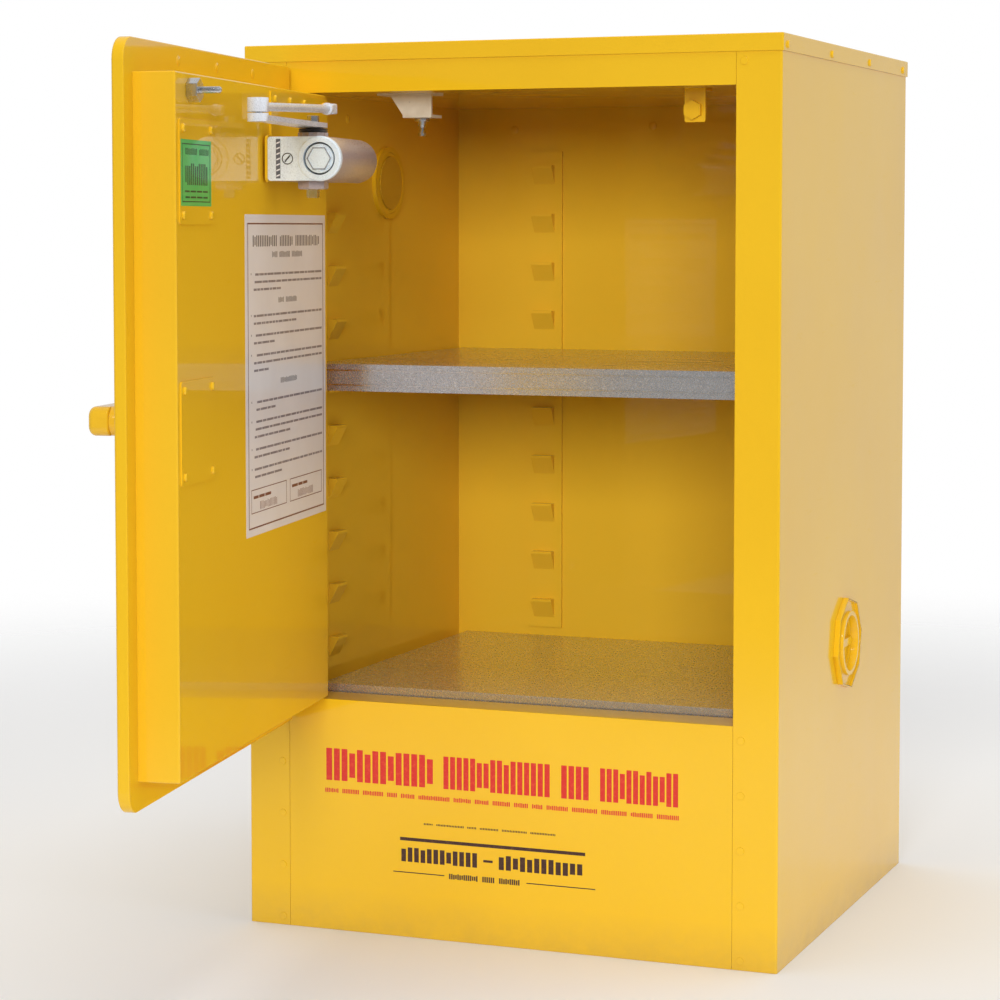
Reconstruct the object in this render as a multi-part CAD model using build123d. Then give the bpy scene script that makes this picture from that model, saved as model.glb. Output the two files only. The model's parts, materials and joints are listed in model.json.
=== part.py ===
from build123d import *
import math
import os

# A small double-walled steel cabinet for flammable liquids, standing open.
# Millimetres. Origin: centre of the base on the floor. +X right, +Y to the rear, +Z up.
# The door is drawn closed in its own hinge frame (across, depth, up) and swung to DOOR_OPEN.

# Overall sizes
WIDTH = 500.0
DEPTH = 450.0
HEIGHT = 800.0
SHEET = 1.2
AIR_GAP = 40.0
FOLD_RADIUS = 2.0
BEND_ROOM = 0.9
FIT = 0.3

# Door opening in the front
OPENING_HALF = 210.0
SILL_Z = 211.0
SOFFIT_Z = 757.0
JAMB_DEPTH = 38.0

# Cap over the top
CAP_SKIRT = 15.0
CAP_PROUD = 0.2

# Inner chamber
SUMP_RIM_Z = 205.0
SUMP_RIM_WIDTH = 18.0
WALL_FRONT = -205.0

# Shelf strips with pressed lugs
STRIP_WIDTH = 38.0
STRIP_PROUD = 3.2
STRIP_BOTTOM = 225.0
STRIP_TOP = 714.0
LUG_PITCH = 49.5
LUG_WIDTH = 22.0
LUG_HEIGHT = 19.0
LUG_REACH = 9.0
SHELF_SEAT_Z = 502.0
LUGS_BELOW = 5
LUGS_ABOVE = 4
SIDE_STRIP_Y = -132.0
BACK_STRIP_X = 115.0

# Edges folded over to meet the next sheet
REAR_RETURN = 15.0
LAP_NEAR = 200.0
LAP_FAR = 228.0

# Shelf and base tray
SHELF_FLANGE = 10.5
SHELF_LIP = 24.5
SHELF_HALF = 206.0
SHELF_FRONT = -186.0
SHELF_REAR = 180.0
LIP_HEM = 10.0
TRAY_HALF = 197.0
TRAY_FRONT = -183.0
TRAY_REAR = 172.0
TRAY_HEIGHT = 13.0

# Vents
LEFT_VENT_Z = 680.0
RIGHT_VENT_Z = 254.0
VENT_BORE = 25.5
VENT_TUBE = 29.5
VENT_FLANGE_FLATS = 80.0
VENT_FLANGE_THICK = 5.0
VENT_FLANGE_TURN = -9.0
VENT_LIP = 1.6
VENT_POCKET = 3.0
VENT_BOSS_PROUD = 1.0
VENT_RING = 35.0
VENT_RING_THICK = 4.0
PLUG_RECESS = 5.5
PLUG_LENGTH = 14.0
PLUG_DISH_RADIUS = 21.5
PLUG_DISH_DEPTH = 2.0
PLUG_BAR_WIDTH = 7.0
GAUZE_THICK = 1.0

# Rivets and screws
RIVET_HEAD = 3.4
RIVET_RISE = 1.6
FLAT_RIVET_RISE = 0.7
RIVET_SHANK = 2.0
SCREW_HEAD = 3.2
SCREW_RISE = 2.0
SCREW_SHANK = 1.6
SCREW_LENGTH = 7.0
HOLE_PLAY = 0.1
STILE_RIVET_X = 217.0
STILE_RIVET_BOTTOM = 8.0
STILE_RIVET_TOP = 777.0
STILE_RIVET_PITCH = 47.75
BACK_RIVET_X = 242.0
BACK_RIVET_BOTTOM = 60.0
BACK_RIVET_PITCH = 170.0
CAP_RIVET_Z = 790.5
LEAF_RIVET_HEAD = 2.6
LEAF_RIVET_RISE = 1.0
LEAF_RIVET_DEPTH = 17.0
PLATE_SCREW_Z = 744.0

# Piano hinge down the left of the opening
HINGE_X = -206.5
HINGE_Y = -228.5
KNUCKLE = 3.0
PIN = 1.2
PIN_FIT = 0.05
LEAF = 1.0
LEAF_DEPTH = 28.0
HINGE_BOTTOM = 225.0
HINGE_PITCH = 26.0
HINGE_KNUCKLES = 20
DOOR_OPEN = 81.0

# Door, in the hinge frame
PAN_NEAR = 3.5
PAN_FAR = 432.5
PAN_FRONT = -7.5
PAN_BACK = 2.5
PAN_BOTTOM = 191.0
PAN_TOP = 780.0
PAN_CORNER = 18.0
BOX_NEAR = 3.0
BOX_FAR = 412.5
BOX_FACE = 36.0
BOX_BOTTOM = 214.0
BOX_TOP = 754.0
PAN_LIP = 21.0

# Cover plates on the inside of the door
COVER_SIZE = 80.0
COVER_ACROSS = 366.0
UPPER_COVER_Z = 679.0
LOWER_COVER_Z = 480.0
COVER_SCREW_INSET = 7.0

# Quarter-turn handle and latch
HANDLE_ACROSS = 394.0
HANDLE_Z = 489.0
GRIP_REACH = 47.0
GRIP_HEEL = 13.0
GRIP_HEIGHT = 22.6
GRIP_FRONT = -38.5
GRIP_BACK = -21.5
GRIP_CORNER = 8.0
GRIP_FRONT_ROUND = 5.0
GRIP_BACK_ROUND = 1.5
NECK = 11.5
ROSE = 17.0
ROSE_THICK = 3.0
SPINDLE = 5.0
BUSH = 8.0
CRANK_RADIUS = 14.0
CRANK_PIN = 2.5
CRANK_HUB = 9.0
CRANK_FRONT = 22.0
CRANK_THICK = 3.0
SPINDLE_HEX = 8.0
SPINDLE_HEX_LENGTH = 5.0

# Latch rod inside the door, lifted by the crank into the soffit
ROD_ACROSS = 370.0
ROD_DEPTH = 18.0
ROD = 3.5
ROD_PLAY = 0.35
ROD_BOTTOM = 420.0
ROD_TOP = 753.5
FORK_END = 388.0
FORK_SLOT_START = 376.5
FORK_HALF_HEIGHT = 8.0
FORK_SLOT_PLAY = 0.55
FORK_THICK = 4.0
GUIDE_ZS = [451.0, 564.0]
GUIDE_HALF_WIDTH = 6.0
GUIDE_HALF_HEIGHT = 4.0
KEEPER_PLAY = 1.0

# Door closer, in the hinge frame
CLOSER_Z = 693.5
CLOSER_NEAR = 80.0
CLOSER_FAR = 192.0
CLOSER_BACK = 40.0
CLOSER_AXIS = 84.5
CLOSER_RADIUS = 18.6
CLOSER_HALF_HEIGHT = 18.2
BASE_PLATE_THICK = 2.0
BASE_PLATE_NEAR = 6.0
BASE_PLATE_FAR = 175.0
BASE_PLATE_BOTTOM = 676.0
BASE_PLATE_TOP = 750.0
MOUNT_HALF_HEIGHT = 19.5
END_RECESS = 13.6
END_PLUG = 12.0
END_PLUG_DEPTH = 3.0
END_PLUG_PROUD = 0.7
END_HEX = 10.6
END_HEX_THICK = 1.6
SPEED_SCREW = 4.0
SPEED_BORE = 4.9
SPEED_SCREW_DEPTH = 56.8
SPEED_SCREW_LENGTH = 5.8
PINION_ACROSS = 168.0
PINION_DEPTH = 72.0
PINION = 7.0
PINION_BOTTOM = 668.5
PINION_SQUARE = 9.0
PINION_SQUARE_BOTTOM = 661.5
ARM_SCREW = 5.4
ARM_SCREW_HEIGHT = 6.0
ARM_HUB = 12.0
GLAND_NUT = 13.0
GLAND_NUT_TOP = 715.4
GLAND_SEAL = 10.6
ARM_Z = 719.5
ARM_THICK = 4.0
ELBOW_ACROSS = 335.0
ELBOW_DEPTH = 76.5
ELBOW = 8.3
ELBOW_PIN = 4.0
ELBOW_SPLIT_Z = 725.0
ELBOW_TOP_Z = 737.0
FOREARM_END_ACROSS = 160.0
FOREARM_END_DEPTH = 85.0
FOREARM_NEAR_Z = 730.1
FOREARM_FAR_Z = 735.4
FOREARM = 3.4

# Bracket and stud under the ceiling, for the closer's forearm
BRACKET_LEFT = -141.0
BRACKET_RIGHT = -88.0
BRACKET_FRONT = -180.0
BRACKET_REAR = -152.0
BRACKET_THICK = 2.6
BRACKET_FOOT_Z = 738.0
STUD_X = -102.0
STUD_Y = -168.0
STUD_BOTTOM = 719.0
STUD = 3.6

# Strike tab under the ceiling, and the pin on the door
STRIKE_LEFT = 144.0
STRIKE_RIGHT = 163.0
STRIKE_Y = -161.0
STRIKE_BOTTOM = 728.5
STRIKE_THICK = 2.0
STRIKE_BOLT_Z = 739.0
CATCH_PIN_ACROSS = 380.0
CATCH_PIN_Z = 741.0
CATCH_PIN = 2.6
CATCH_PIN_TIP = 62.0

HALF_W = WIDTH / 2
HALF_D = DEPTH / 2
BODY_TOP = HEIGHT - SHEET
WALL_X = OPENING_HALF + SHEET
BACK_WALL_Y = HALF_D - AIR_GAP
CEILING_Z = SOFFIT_Z + SHEET
HINGE_TOP = HINGE_BOTTOM + HINGE_PITCH * HINGE_KNUCKLES
DOOR_PLACE = Location((HINGE_X, HINGE_Y, 0), (0, 0, -DOOR_OPEN))
Z_AXIS = (0, 0, 1)


def block(x0, x1, y0, y1, z0, z1):
    """A box between two opposite corners."""
    centre = ((x0 + x1) / 2, (y0 + y1) / 2, (z0 + z1) / 2)
    return Pos(*centre) * Box(abs(x1 - x0), abs(y1 - y0), abs(z1 - z0))


def rod(start, direction, radius, length):
    """A round bar that starts at a point and runs along a direction."""
    base = Plane(origin=start, z_dir=direction)
    return extrude(base * Circle(radius), length)


def hex_bar(start, direction, corner_radius, length):
    """A hexagonal bar that starts at a point and runs along a direction."""
    base = Plane(origin=start, z_dir=direction)
    return extrude(base * RegularPolygon(corner_radius, 6), length)


def arm_bar(start, end, start_radius, end_radius):
    """The face of a flat bar between two round ends."""
    direction = (Vector(*end) - Vector(*start)).normalized()
    normal = Vector(-direction.Y, direction.X, 0)
    corners = [
        Vector(*start) + normal * start_radius,
        Vector(*end) + normal * end_radius,
        Vector(*end) - normal * end_radius,
        Vector(*start) - normal * start_radius,
    ]
    web = make_face(Polyline(*[(p.X, p.Y) for p in corners], close=True))
    return web + Pos(*start) * Circle(start_radius) + Pos(*end) * Circle(end_radius)


def folded_sheet(path, bottom, top):
    """Sheet bent along a path in plan, with its thickness on the path's left."""
    bends = FilletPolyline(*path, radius=FOLD_RADIUS)
    outline = offset(bends, amount=SHEET, side=Side.LEFT, closed=True)
    return Pos(0, 0, bottom) * extrude(make_face(outline.edges()), top - bottom)


def fastener(radius, rise, shank, length):
    """A rounded head standing on the XY plane, with its shank below it."""
    head = Pos(0, 0, rise / 2) * Cylinder(radius, rise)
    head = fillet(head.edges().sort_by(Axis.Z)[-1], rise * 0.7)
    return head + Pos(0, 0, -length / 2) * Cylinder(shank, length)


def fasteners(points, outward, shape):
    """The same fastener on each point of a face that looks outward."""
    return [Plane(origin=point, z_dir=outward) * shape for point in points]


def holes(points, direction, radius):
    """Cutters for through holes, centred on the given points."""
    reach = 8.0
    back = Vector(*direction) * (-reach / 2)
    return [rod(tuple(Vector(*point) + back), direction, radius, reach) for point in points]


def save(name, shape):
    shape.label = name
    export_step(shape, f"parts/{name}.step")


def save_all(group):
    for name, shape in group.items():
        save(name, shape)


def save_on_door(group):
    for name, shape in group.items():
        save(name, DOOR_PLACE * shape)


# ---------------------------------------------------------------- fastener positions

STILE_RIVET_ZS = [STILE_RIVET_BOTTOM + STILE_RIVET_PITCH * step for step in range(5)] + [STILE_RIVET_TOP]
CAP_RIVET_YS = [-213.0, -67.0, 71.0, 205.0]
CAP_RIVET_XS = [-200.0, -67.0, 67.0, 200.0]
BACK_RIVET_ZS = [BACK_RIVET_BOTTOM + BACK_RIVET_PITCH * step for step in range(5)]
LEAF_RIVET_ZS = [250.0, 354.0, 484.0, 646.0, 720.0]
PLATE_SCREW_ACROSS = [20.0, 80.0, 122.0, 165.0]


def front_rivet_points():
    return [(side * STILE_RIVET_X, -HALF_D, z) for side in (-1, 1) for z in STILE_RIVET_ZS]


def back_rivet_points():
    return [(side * BACK_RIVET_X, HALF_D, z) for side in (-1, 1) for z in BACK_RIVET_ZS]


def cover_screw_points():
    reach = COVER_SIZE / 2 - COVER_SCREW_INSET
    points = []
    for z in (UPPER_COVER_Z, LOWER_COVER_Z):
        for i in (-1, 1):
            for j in (-1, 1):
                points.append((COVER_ACROSS + i * reach, BOX_FACE + SHEET, z + j * reach))
    return points


def plate_screw_points():
    return [(across, BOX_FACE + BASE_PLATE_THICK, PLATE_SCREW_Z) for across in PLATE_SCREW_ACROSS]


# ---------------------------------------------------------------- outer shell

def left_side():
    """Side sheet with a rear return, a front stile and a jamb folded back beside the opening."""
    rear_edge = (-HALF_W + REAR_RETURN, HALF_D)
    path = [rear_edge, (-HALF_W, HALF_D), (-HALF_W, -HALF_D), (-OPENING_HALF, -HALF_D)]
    skin = folded_sheet(path, 0, BODY_TOP)
    jamb = block(-WALL_X, -OPENING_HALF, -HALF_D, -HALF_D + JAMB_DEPTH, SILL_Z, SOFFIT_Z)
    cuts = holes([p for p in front_rivet_points() if p[0] < 0], (0, 1, 0), RIVET_SHANK + HOLE_PLAY)
    cuts += holes([p for p in back_rivet_points() if p[0] < 0], (0, 1, 0), RIVET_SHANK + HOLE_PLAY)
    cuts += holes([(-HALF_W, y, CAP_RIVET_Z) for y in CAP_RIVET_YS], (1, 0, 0), RIVET_SHANK + HOLE_PLAY)
    return skin + jamb - cuts


def hinge_jamb_holes():
    """Holes in the left jamb for the rivets of the hinge's fixed leaf."""
    points = [(-OPENING_HALF, HINGE_Y + LEAF_RIVET_DEPTH, z) for z in LEAF_RIVET_ZS]
    return holes(points, (1, 0, 0), RIVET_SHANK + HOLE_PLAY)


def vent_hole(side, z):
    return rod((side * (HALF_W + 10), 0, z), (-side, 0, 0), VENT_TUBE + HOLE_PLAY, AIR_GAP + 30)


def keeper_hole():
    """The hole in the soffit that the latch rod rises into when the door is shut."""
    middle = (HINGE_X + ROD_ACROSS, HINGE_Y + ROD_DEPTH, SOFFIT_Z)
    return holes([middle], Z_AXIS, ROD + KEEPER_PLAY)


def across_front(bottom, top, fold_z):
    """A front sheet between the stiles: laps behind both stiles, folded back at one edge."""
    half = OPENING_HALF - FIT
    inner = -HALF_D + SHEET
    face = block(-half, half, -HALF_D, inner, bottom, top)
    fold = block(-half, half, -HALF_D, -HALF_D + JAMB_DEPTH, fold_z, fold_z + SHEET)
    laps = [block(side * LAP_NEAR, side * LAP_FAR, inner, inner + SHEET, bottom, top) for side in (-1, 1)]
    points = [p for p in front_rivet_points() if bottom < p[2] < top]
    return face + fold + laps - holes(points, (0, 1, 0), RIVET_SHANK + HOLE_PLAY)


def top_cap():
    """A shallow lid whose skirt hangs just outside the four walls."""
    outer_x = HALF_W + CAP_PROUD + SHEET
    outer_y = HALF_D + CAP_PROUD + SHEET
    lid = block(-outer_x, outer_x, -outer_y, outer_y, HEIGHT - CAP_SKIRT, HEIGHT)
    lid = fillet(lid.edges().filter_by(Axis.Z) + lid.edges().group_by(Axis.Z)[-1], SHEET)
    room = block(-outer_x + SHEET, outer_x - SHEET, -outer_y + SHEET, outer_y - SHEET, 0, BODY_TOP)
    sides = [(side * outer_x, y, CAP_RIVET_Z) for side in (-1, 1) for y in CAP_RIVET_YS]
    rear = [(x, outer_y, CAP_RIVET_Z) for x in CAP_RIVET_XS]
    cuts = holes(sides, (1, 0, 0), RIVET_SHANK + HOLE_PLAY)
    cuts += holes(rear, (0, 1, 0), RIVET_SHANK + HOLE_PLAY)
    return lid - room - cuts


def outer_back():
    rear = HALF_D - SHEET
    half = HALF_W - SHEET - BEND_ROOM
    sheet = block(-half, half, rear - SHEET, rear, SHEET, BODY_TOP)
    cap_points = [(x, HALF_D, CAP_RIVET_Z) for x in CAP_RIVET_XS]
    cuts = holes(back_rivet_points() + cap_points, (0, 1, 0), RIVET_SHANK + HOLE_PLAY)
    return sheet - cuts


def outer_base():
    half = HALF_W - SHEET - BEND_ROOM
    return block(-half, half, -HALF_D + 2 * SHEET + HOLE_PLAY, HALF_D - SHEET - BEND_ROOM, 0, SHEET)


def shell_rivets():
    """Rivets of the panels and the cap. The front ones have low heads, as the door shuts over some."""
    flat = fastener(RIVET_HEAD, FLAT_RIVET_RISE, RIVET_SHANK, 3.2)
    heads = fasteners(front_rivet_points(), (0, -1, 0), flat)
    heads += fasteners(back_rivet_points(), (0, 1, 0), flat)
    out_x = HALF_W + CAP_PROUD + SHEET
    out_y = HALF_D + CAP_PROUD + SHEET
    domed = fastener(RIVET_HEAD, RIVET_RISE, RIVET_SHANK, 3.4)
    heads += fasteners([(x, out_y, CAP_RIVET_Z) for x in CAP_RIVET_XS], (0, 1, 0), domed)
    for side in (-1, 1):
        points = [(side * out_x, y, CAP_RIVET_Z) for y in CAP_RIVET_YS]
        heads += fasteners(points, (side, 0, 0), domed)
    return Compound(children=heads)


# ---------------------------------------------------------------- inner chamber

def inner_side(side):
    rear = BACK_WALL_Y + SHEET
    return block(side * WALL_X, side * (WALL_X + SHEET), WALL_FRONT, rear, AIR_GAP, CEILING_Z)


def inner_back():
    return block(-WALL_X, WALL_X, BACK_WALL_Y, BACK_WALL_Y + SHEET, AIR_GAP, CEILING_Z)


def inner_ceiling():
    reach = WALL_X + SHEET
    return block(-reach, reach, WALL_FRONT, BACK_WALL_Y + SHEET, CEILING_Z, CEILING_Z + SHEET)


def spill_sump():
    """A welded tray that holds a leak, with an inward rim that carries the base tray."""
    half = WALL_X - 0.2
    front = -HALF_D + JAMB_DEPTH + 1.0
    rear = BACK_WALL_Y - 0.2
    tank = block(-half, half, front, rear, AIR_GAP, SUMP_RIM_Z)
    inner_half = half - SHEET
    hollow = block(
        -inner_half, inner_half, front + SHEET, rear - SHEET, AIR_GAP + SHEET, SUMP_RIM_Z - SHEET
    )
    edge = SUMP_RIM_WIDTH
    low = SUMP_RIM_Z - 2 * SHEET
    mouth = block(-half + edge, half - edge, front + edge, rear - edge, low, SUMP_RIM_Z + 1)
    return tank - hollow - mouth


def shelf_strip():
    """A pressed channel that stands off the wall along -Y, with lugs bent out of its web."""
    half = STRIP_WIDTH / 2
    channel = block(-half, half, -STRIP_PROUD, 0, STRIP_BOTTOM, STRIP_TOP)
    hollow = block(-half + SHEET, half - SHEET, -STRIP_PROUD + SHEET, 1, STRIP_BOTTOM - 1, STRIP_TOP + 1)
    strip = channel - hollow
    face = -STRIP_PROUD
    for step in range(-LUGS_BELOW, LUGS_ABOVE + 1):
        top = SHELF_SEAT_Z + step * LUG_PITCH
        profile = Polyline(
            (face + SHEET, top),
            (face - LUG_REACH, top),
            (face - LUG_REACH, top - 2 * SHEET),
            (face, top - LUG_HEIGHT),
            (face + SHEET, top - LUG_HEIGHT),
            close=True,
        )
        strip += extrude(Plane.YZ * make_face(profile), LUG_WIDTH / 2, both=True)
    return strip


def shelf_strips():
    strip = shelf_strip()
    return {
        "left_shelf_strip": Pos(-WALL_X, SIDE_STRIP_Y, 0) * Rot(0, 0, 90) * strip,
        "right_shelf_strip": Pos(WALL_X, SIDE_STRIP_Y, 0) * Rot(0, 0, -90) * strip,
        "back_left_shelf_strip": Pos(-BACK_STRIP_X, BACK_WALL_Y, 0) * strip,
        "back_right_shelf_strip": Pos(BACK_STRIP_X, BACK_WALL_Y, 0) * strip,
    }


def shelf():
    """Galvanised shelf: shallow flanges at the sides and rear, a deep hemmed lip at the front."""
    top = SHELF_SEAT_Z + SHELF_FLANGE
    low = top - SHELF_LIP
    half = SHELF_HALF
    deck = block(-half, half, SHELF_FRONT, SHELF_REAR, SHELF_SEAT_Z, top)
    under = block(-half + SHEET, half - SHEET, SHELF_FRONT, SHELF_REAR - SHEET, 0, top - SHEET)
    lip = block(-half, half, SHELF_FRONT, SHELF_FRONT + SHEET, low, top)
    hem = block(-half, half, SHELF_FRONT, SHELF_FRONT + LIP_HEM, low, low + SHEET)
    return deck - under + lip + hem


def base_tray():
    """Galvanised tray deck that stands on the sump's rim on its own turned-down edges."""
    top = SUMP_RIM_Z + TRAY_HEIGHT
    inner = TRAY_HALF - SHEET
    deck = block(-TRAY_HALF, TRAY_HALF, TRAY_FRONT, TRAY_REAR, SUMP_RIM_Z, top)
    under = block(-inner, inner, TRAY_FRONT + SHEET, TRAY_REAR - SHEET, 0, top - SHEET)
    return deck - under


# ---------------------------------------------------------------- vents

def octagon(across_flats):
    return RegularPolygon(across_flats / 2, 8, major_radius=False, rotation=VENT_FLANGE_TURN)


def vent(side, z):
    """Parts of one vent, from the outside in: rimmed socket, plug, gauze and inner ring."""
    inward = (-side, 0, 0)
    outer = HALF_W + VENT_FLANGE_THICK
    inner_end = WALL_X - 4.0
    face_plane = Plane(origin=(side * outer, 0, z), x_dir=(0, -1, 0), z_dir=inward)
    flange = face_plane * octagon(VENT_FLANGE_FLATS)
    pocket = face_plane * octagon(VENT_FLANGE_FLATS - 2 * VENT_LIP)
    socket = extrude(flange, VENT_FLANGE_THICK)
    socket = chamfer(socket.edges().group_by(Axis.X)[-1 if side > 0 else 0], 0.5)
    socket -= extrude(pocket, VENT_POCKET)
    boss_end = outer + VENT_BOSS_PROUD
    socket += rod((side * boss_end, 0, z), inward, VENT_TUBE, boss_end - inner_end)
    socket -= rod((side * (boss_end + 1), 0, z), inward, VENT_BORE, boss_end + 2 - inner_end)
    face = side * (outer - PLUG_RECESS)
    plug = rod((face, 0, z), inward, VENT_BORE - FIT, PLUG_LENGTH)
    plug -= rod((face + side, 0, z), inward, PLUG_DISH_RADIUS, PLUG_DISH_DEPTH + 1)
    bar_thick = 2 * PLUG_DISH_DEPTH
    plug += Pos(face - side * 0.5, 0, z) * Box(bar_thick, 2 * PLUG_DISH_RADIUS - 0.2, PLUG_BAR_WIDTH)
    gauze = rod((side * inner_end, 0, z), inward, VENT_BORE, GAUZE_THICK)
    ring = rod((side * WALL_X, 0, z), inward, VENT_RING, VENT_RING_THICK)
    ring -= rod((side * (WALL_X + 1), 0, z), inward, VENT_TUBE + HOLE_PLAY, VENT_RING_THICK + 2)
    word = "right" if side > 0 else "left"
    return {
        f"{word}_vent_socket": socket,
        f"{word}_vent_plug": plug,
        f"{word}_vent_gauze": gauze,
        f"{word}_vent_ring": ring,
    }


# ---------------------------------------------------------------- piano hinge

def knuckles(first, radius, play):
    """Every second knuckle of the hinge, in the hinge frame."""
    shapes = []
    for step in range(first, HINGE_KNUCKLES, 2):
        bottom = HINGE_BOTTOM + step * HINGE_PITCH - play
        shapes.append(rod((0, 0, bottom), Z_AXIS, radius, HINGE_PITCH + 2 * play))
    return shapes


def hinge_leaf(side, first):
    """One leaf: a strip tangent to its knuckles, notched round the other leaf's knuckles."""
    strip = block(side * (KNUCKLE - LEAF), side * KNUCKLE, 0, LEAF_DEPTH, HINGE_BOTTOM, HINGE_TOP)
    if side < 0:
        strip = block(-KNUCKLE - 0.5, -KNUCKLE + 0.5, 0, LEAF_DEPTH, HINGE_BOTTOM, HINGE_TOP)
    leaf = strip + knuckles(first, KNUCKLE, -0.2)
    leaf -= knuckles(1 - first, KNUCKLE + 0.5, 0.2)
    pin_bore = rod((0, 0, HINGE_BOTTOM - 1), Z_AXIS, PIN + PIN_FIT, HINGE_TOP - HINGE_BOTTOM + 2)
    points = [(side * KNUCKLE, LEAF_RIVET_DEPTH, z) for z in LEAF_RIVET_ZS]
    return leaf - pin_bore - holes(points, (1, 0, 0), RIVET_SHANK + HOLE_PLAY)


def leaf_rivets(face, outward, length):
    points = [(face, LEAF_RIVET_DEPTH, z) for z in LEAF_RIVET_ZS]
    shape = fastener(LEAF_RIVET_HEAD, LEAF_RIVET_RISE, RIVET_SHANK, length)
    return Compound(children=fasteners(points, outward, shape))


def hinge_fixed():
    place = Pos(HINGE_X, HINGE_Y, 0)
    leaf_face = -KNUCKLE + 0.5
    return {
        "hinge_frame_leaf": place * hinge_leaf(-1, 0),
        "hinge_pin": place * rod((0, 0, HINGE_BOTTOM), Z_AXIS, PIN, HINGE_TOP - HINGE_BOTTOM),
        "hinge_frame_rivets": place * leaf_rivets(leaf_face, (1, 0, 0), 3.0),
    }


# ---------------------------------------------------------------- door shell

def door_pan():
    """Outer door skin: rounded corners on the free side, edges folded to a narrow rear lip."""
    pan = block(PAN_NEAR, PAN_FAR, PAN_FRONT, PAN_BACK, PAN_BOTTOM, PAN_TOP)
    corners = pan.edges().filter_by(Axis.Y)
    pan = fillet(corners.group_by(Axis.X)[-1], PAN_CORNER)
    pan = fillet(pan.edges().filter_by(Axis.Y).group_by(Axis.X)[0], 3.0)
    pan = fillet(pan.edges().group_by(Axis.Y)[0], 2.4)
    pan = fillet(pan.edges().group_by(Axis.Y)[-1], 1.0)
    inner = [PAN_NEAR + SHEET, PAN_FAR - SHEET, PAN_FRONT + SHEET, PAN_BACK - SHEET]
    hollow = block(*inner, PAN_BOTTOM + SHEET, PAN_TOP - SHEET)
    hollow = fillet(hollow.edges().filter_by(Axis.Y).group_by(Axis.X)[-1], PAN_CORNER - SHEET)
    hollow = fillet(hollow.edges().group_by(Axis.Y)[0], 1.2)
    window = block(
        BOX_NEAR + PAN_LIP, BOX_FAR - PAN_LIP, 0, PAN_BACK + 1, BOX_BOTTOM + PAN_LIP, BOX_TOP - PAN_LIP
    )
    bush_hole = rod((HANDLE_ACROSS, PAN_FRONT - 1, HANDLE_Z), (0, 1, 0), BUSH + HOLE_PLAY, 14)
    return pan - hollow - window - bush_hole


def door_box():
    """Inner door skin: a tray welded to the pan's lip, with two guides for the latch rod."""
    box = block(BOX_NEAR, BOX_FAR, PAN_BACK, BOX_FACE, BOX_BOTTOM, BOX_TOP)
    box = fillet(box.edges().filter_by(Axis.Z).group_by(Axis.Y)[-1], 1.6)
    box = fillet(box.edges().group_by(Axis.Y)[-1].filter_by(Axis.X), 1.2)
    bottom = BOX_BOTTOM + SHEET
    top = BOX_TOP - SHEET
    hollow = block(BOX_NEAR + SHEET, BOX_FAR - SHEET, PAN_BACK - 1, BOX_FACE - SHEET, bottom, top)
    guides = []
    for z in GUIDE_ZS:
        left = ROD_ACROSS - GUIDE_HALF_WIDTH
        right = ROD_ACROSS + GUIDE_HALF_WIDTH
        front = ROD_DEPTH - ROD - 2.0
        guides.append(block(left, right, front, BOX_FACE - 0.5, z - GUIDE_HALF_HEIGHT, z + GUIDE_HALF_HEIGHT))
    rod_way = rod((ROD_ACROSS, ROD_DEPTH, ROD_BOTTOM), Z_AXIS, ROD + ROD_PLAY, BOX_TOP - ROD_BOTTOM + 1)
    screw_points = cover_screw_points() + plate_screw_points()
    catch = [(CATCH_PIN_ACROSS, BOX_FACE, CATCH_PIN_Z)]
    leaf = [(BOX_NEAR, LEAF_RIVET_DEPTH, z) for z in LEAF_RIVET_ZS]
    cuts = holes(screw_points, (0, 1, 0), SCREW_SHANK + HOLE_PLAY)
    cuts += holes(catch, (0, 1, 0), CATCH_PIN + HOLE_PLAY)
    cuts += holes(leaf, (1, 0, 0), RIVET_SHANK + HOLE_PLAY)
    return box - hollow + guides - rod_way - cuts


def cover_plate(z):
    half = COVER_SIZE / 2
    plate = block(
        COVER_ACROSS - half, COVER_ACROSS + half, BOX_FACE, BOX_FACE + SHEET, z - half, z + half
    )
    plate = fillet(plate.edges().filter_by(Axis.Y), 3.0)
    return plate - holes(cover_screw_points(), (0, 1, 0), SCREW_SHANK + HOLE_PLAY)


def door_screws():
    points = cover_screw_points() + plate_screw_points()
    shape = fastener(SCREW_HEAD, SCREW_RISE, SCREW_SHANK, SCREW_LENGTH)
    return Compound(children=fasteners(points, (0, 1, 0), shape))


def catch_pin():
    start = (CATCH_PIN_ACROSS, BOX_FACE - 4, CATCH_PIN_Z)
    pin = rod(start, (0, 1, 0), CATCH_PIN, CATCH_PIN_TIP - BOX_FACE + 4)
    return chamfer(pin.edges().group_by(Axis.Y)[-1], 1.4)


def catch_nut():
    centre = (CATCH_PIN_ACROSS, BOX_FACE, CATCH_PIN_Z)
    nut = hex_bar(centre, (0, 1, 0), 9.4, 9.0)
    return nut - rod(centre, (0, 1, 0), CATCH_PIN, 9.0)


# ---------------------------------------------------------------- handle and latch

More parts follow.
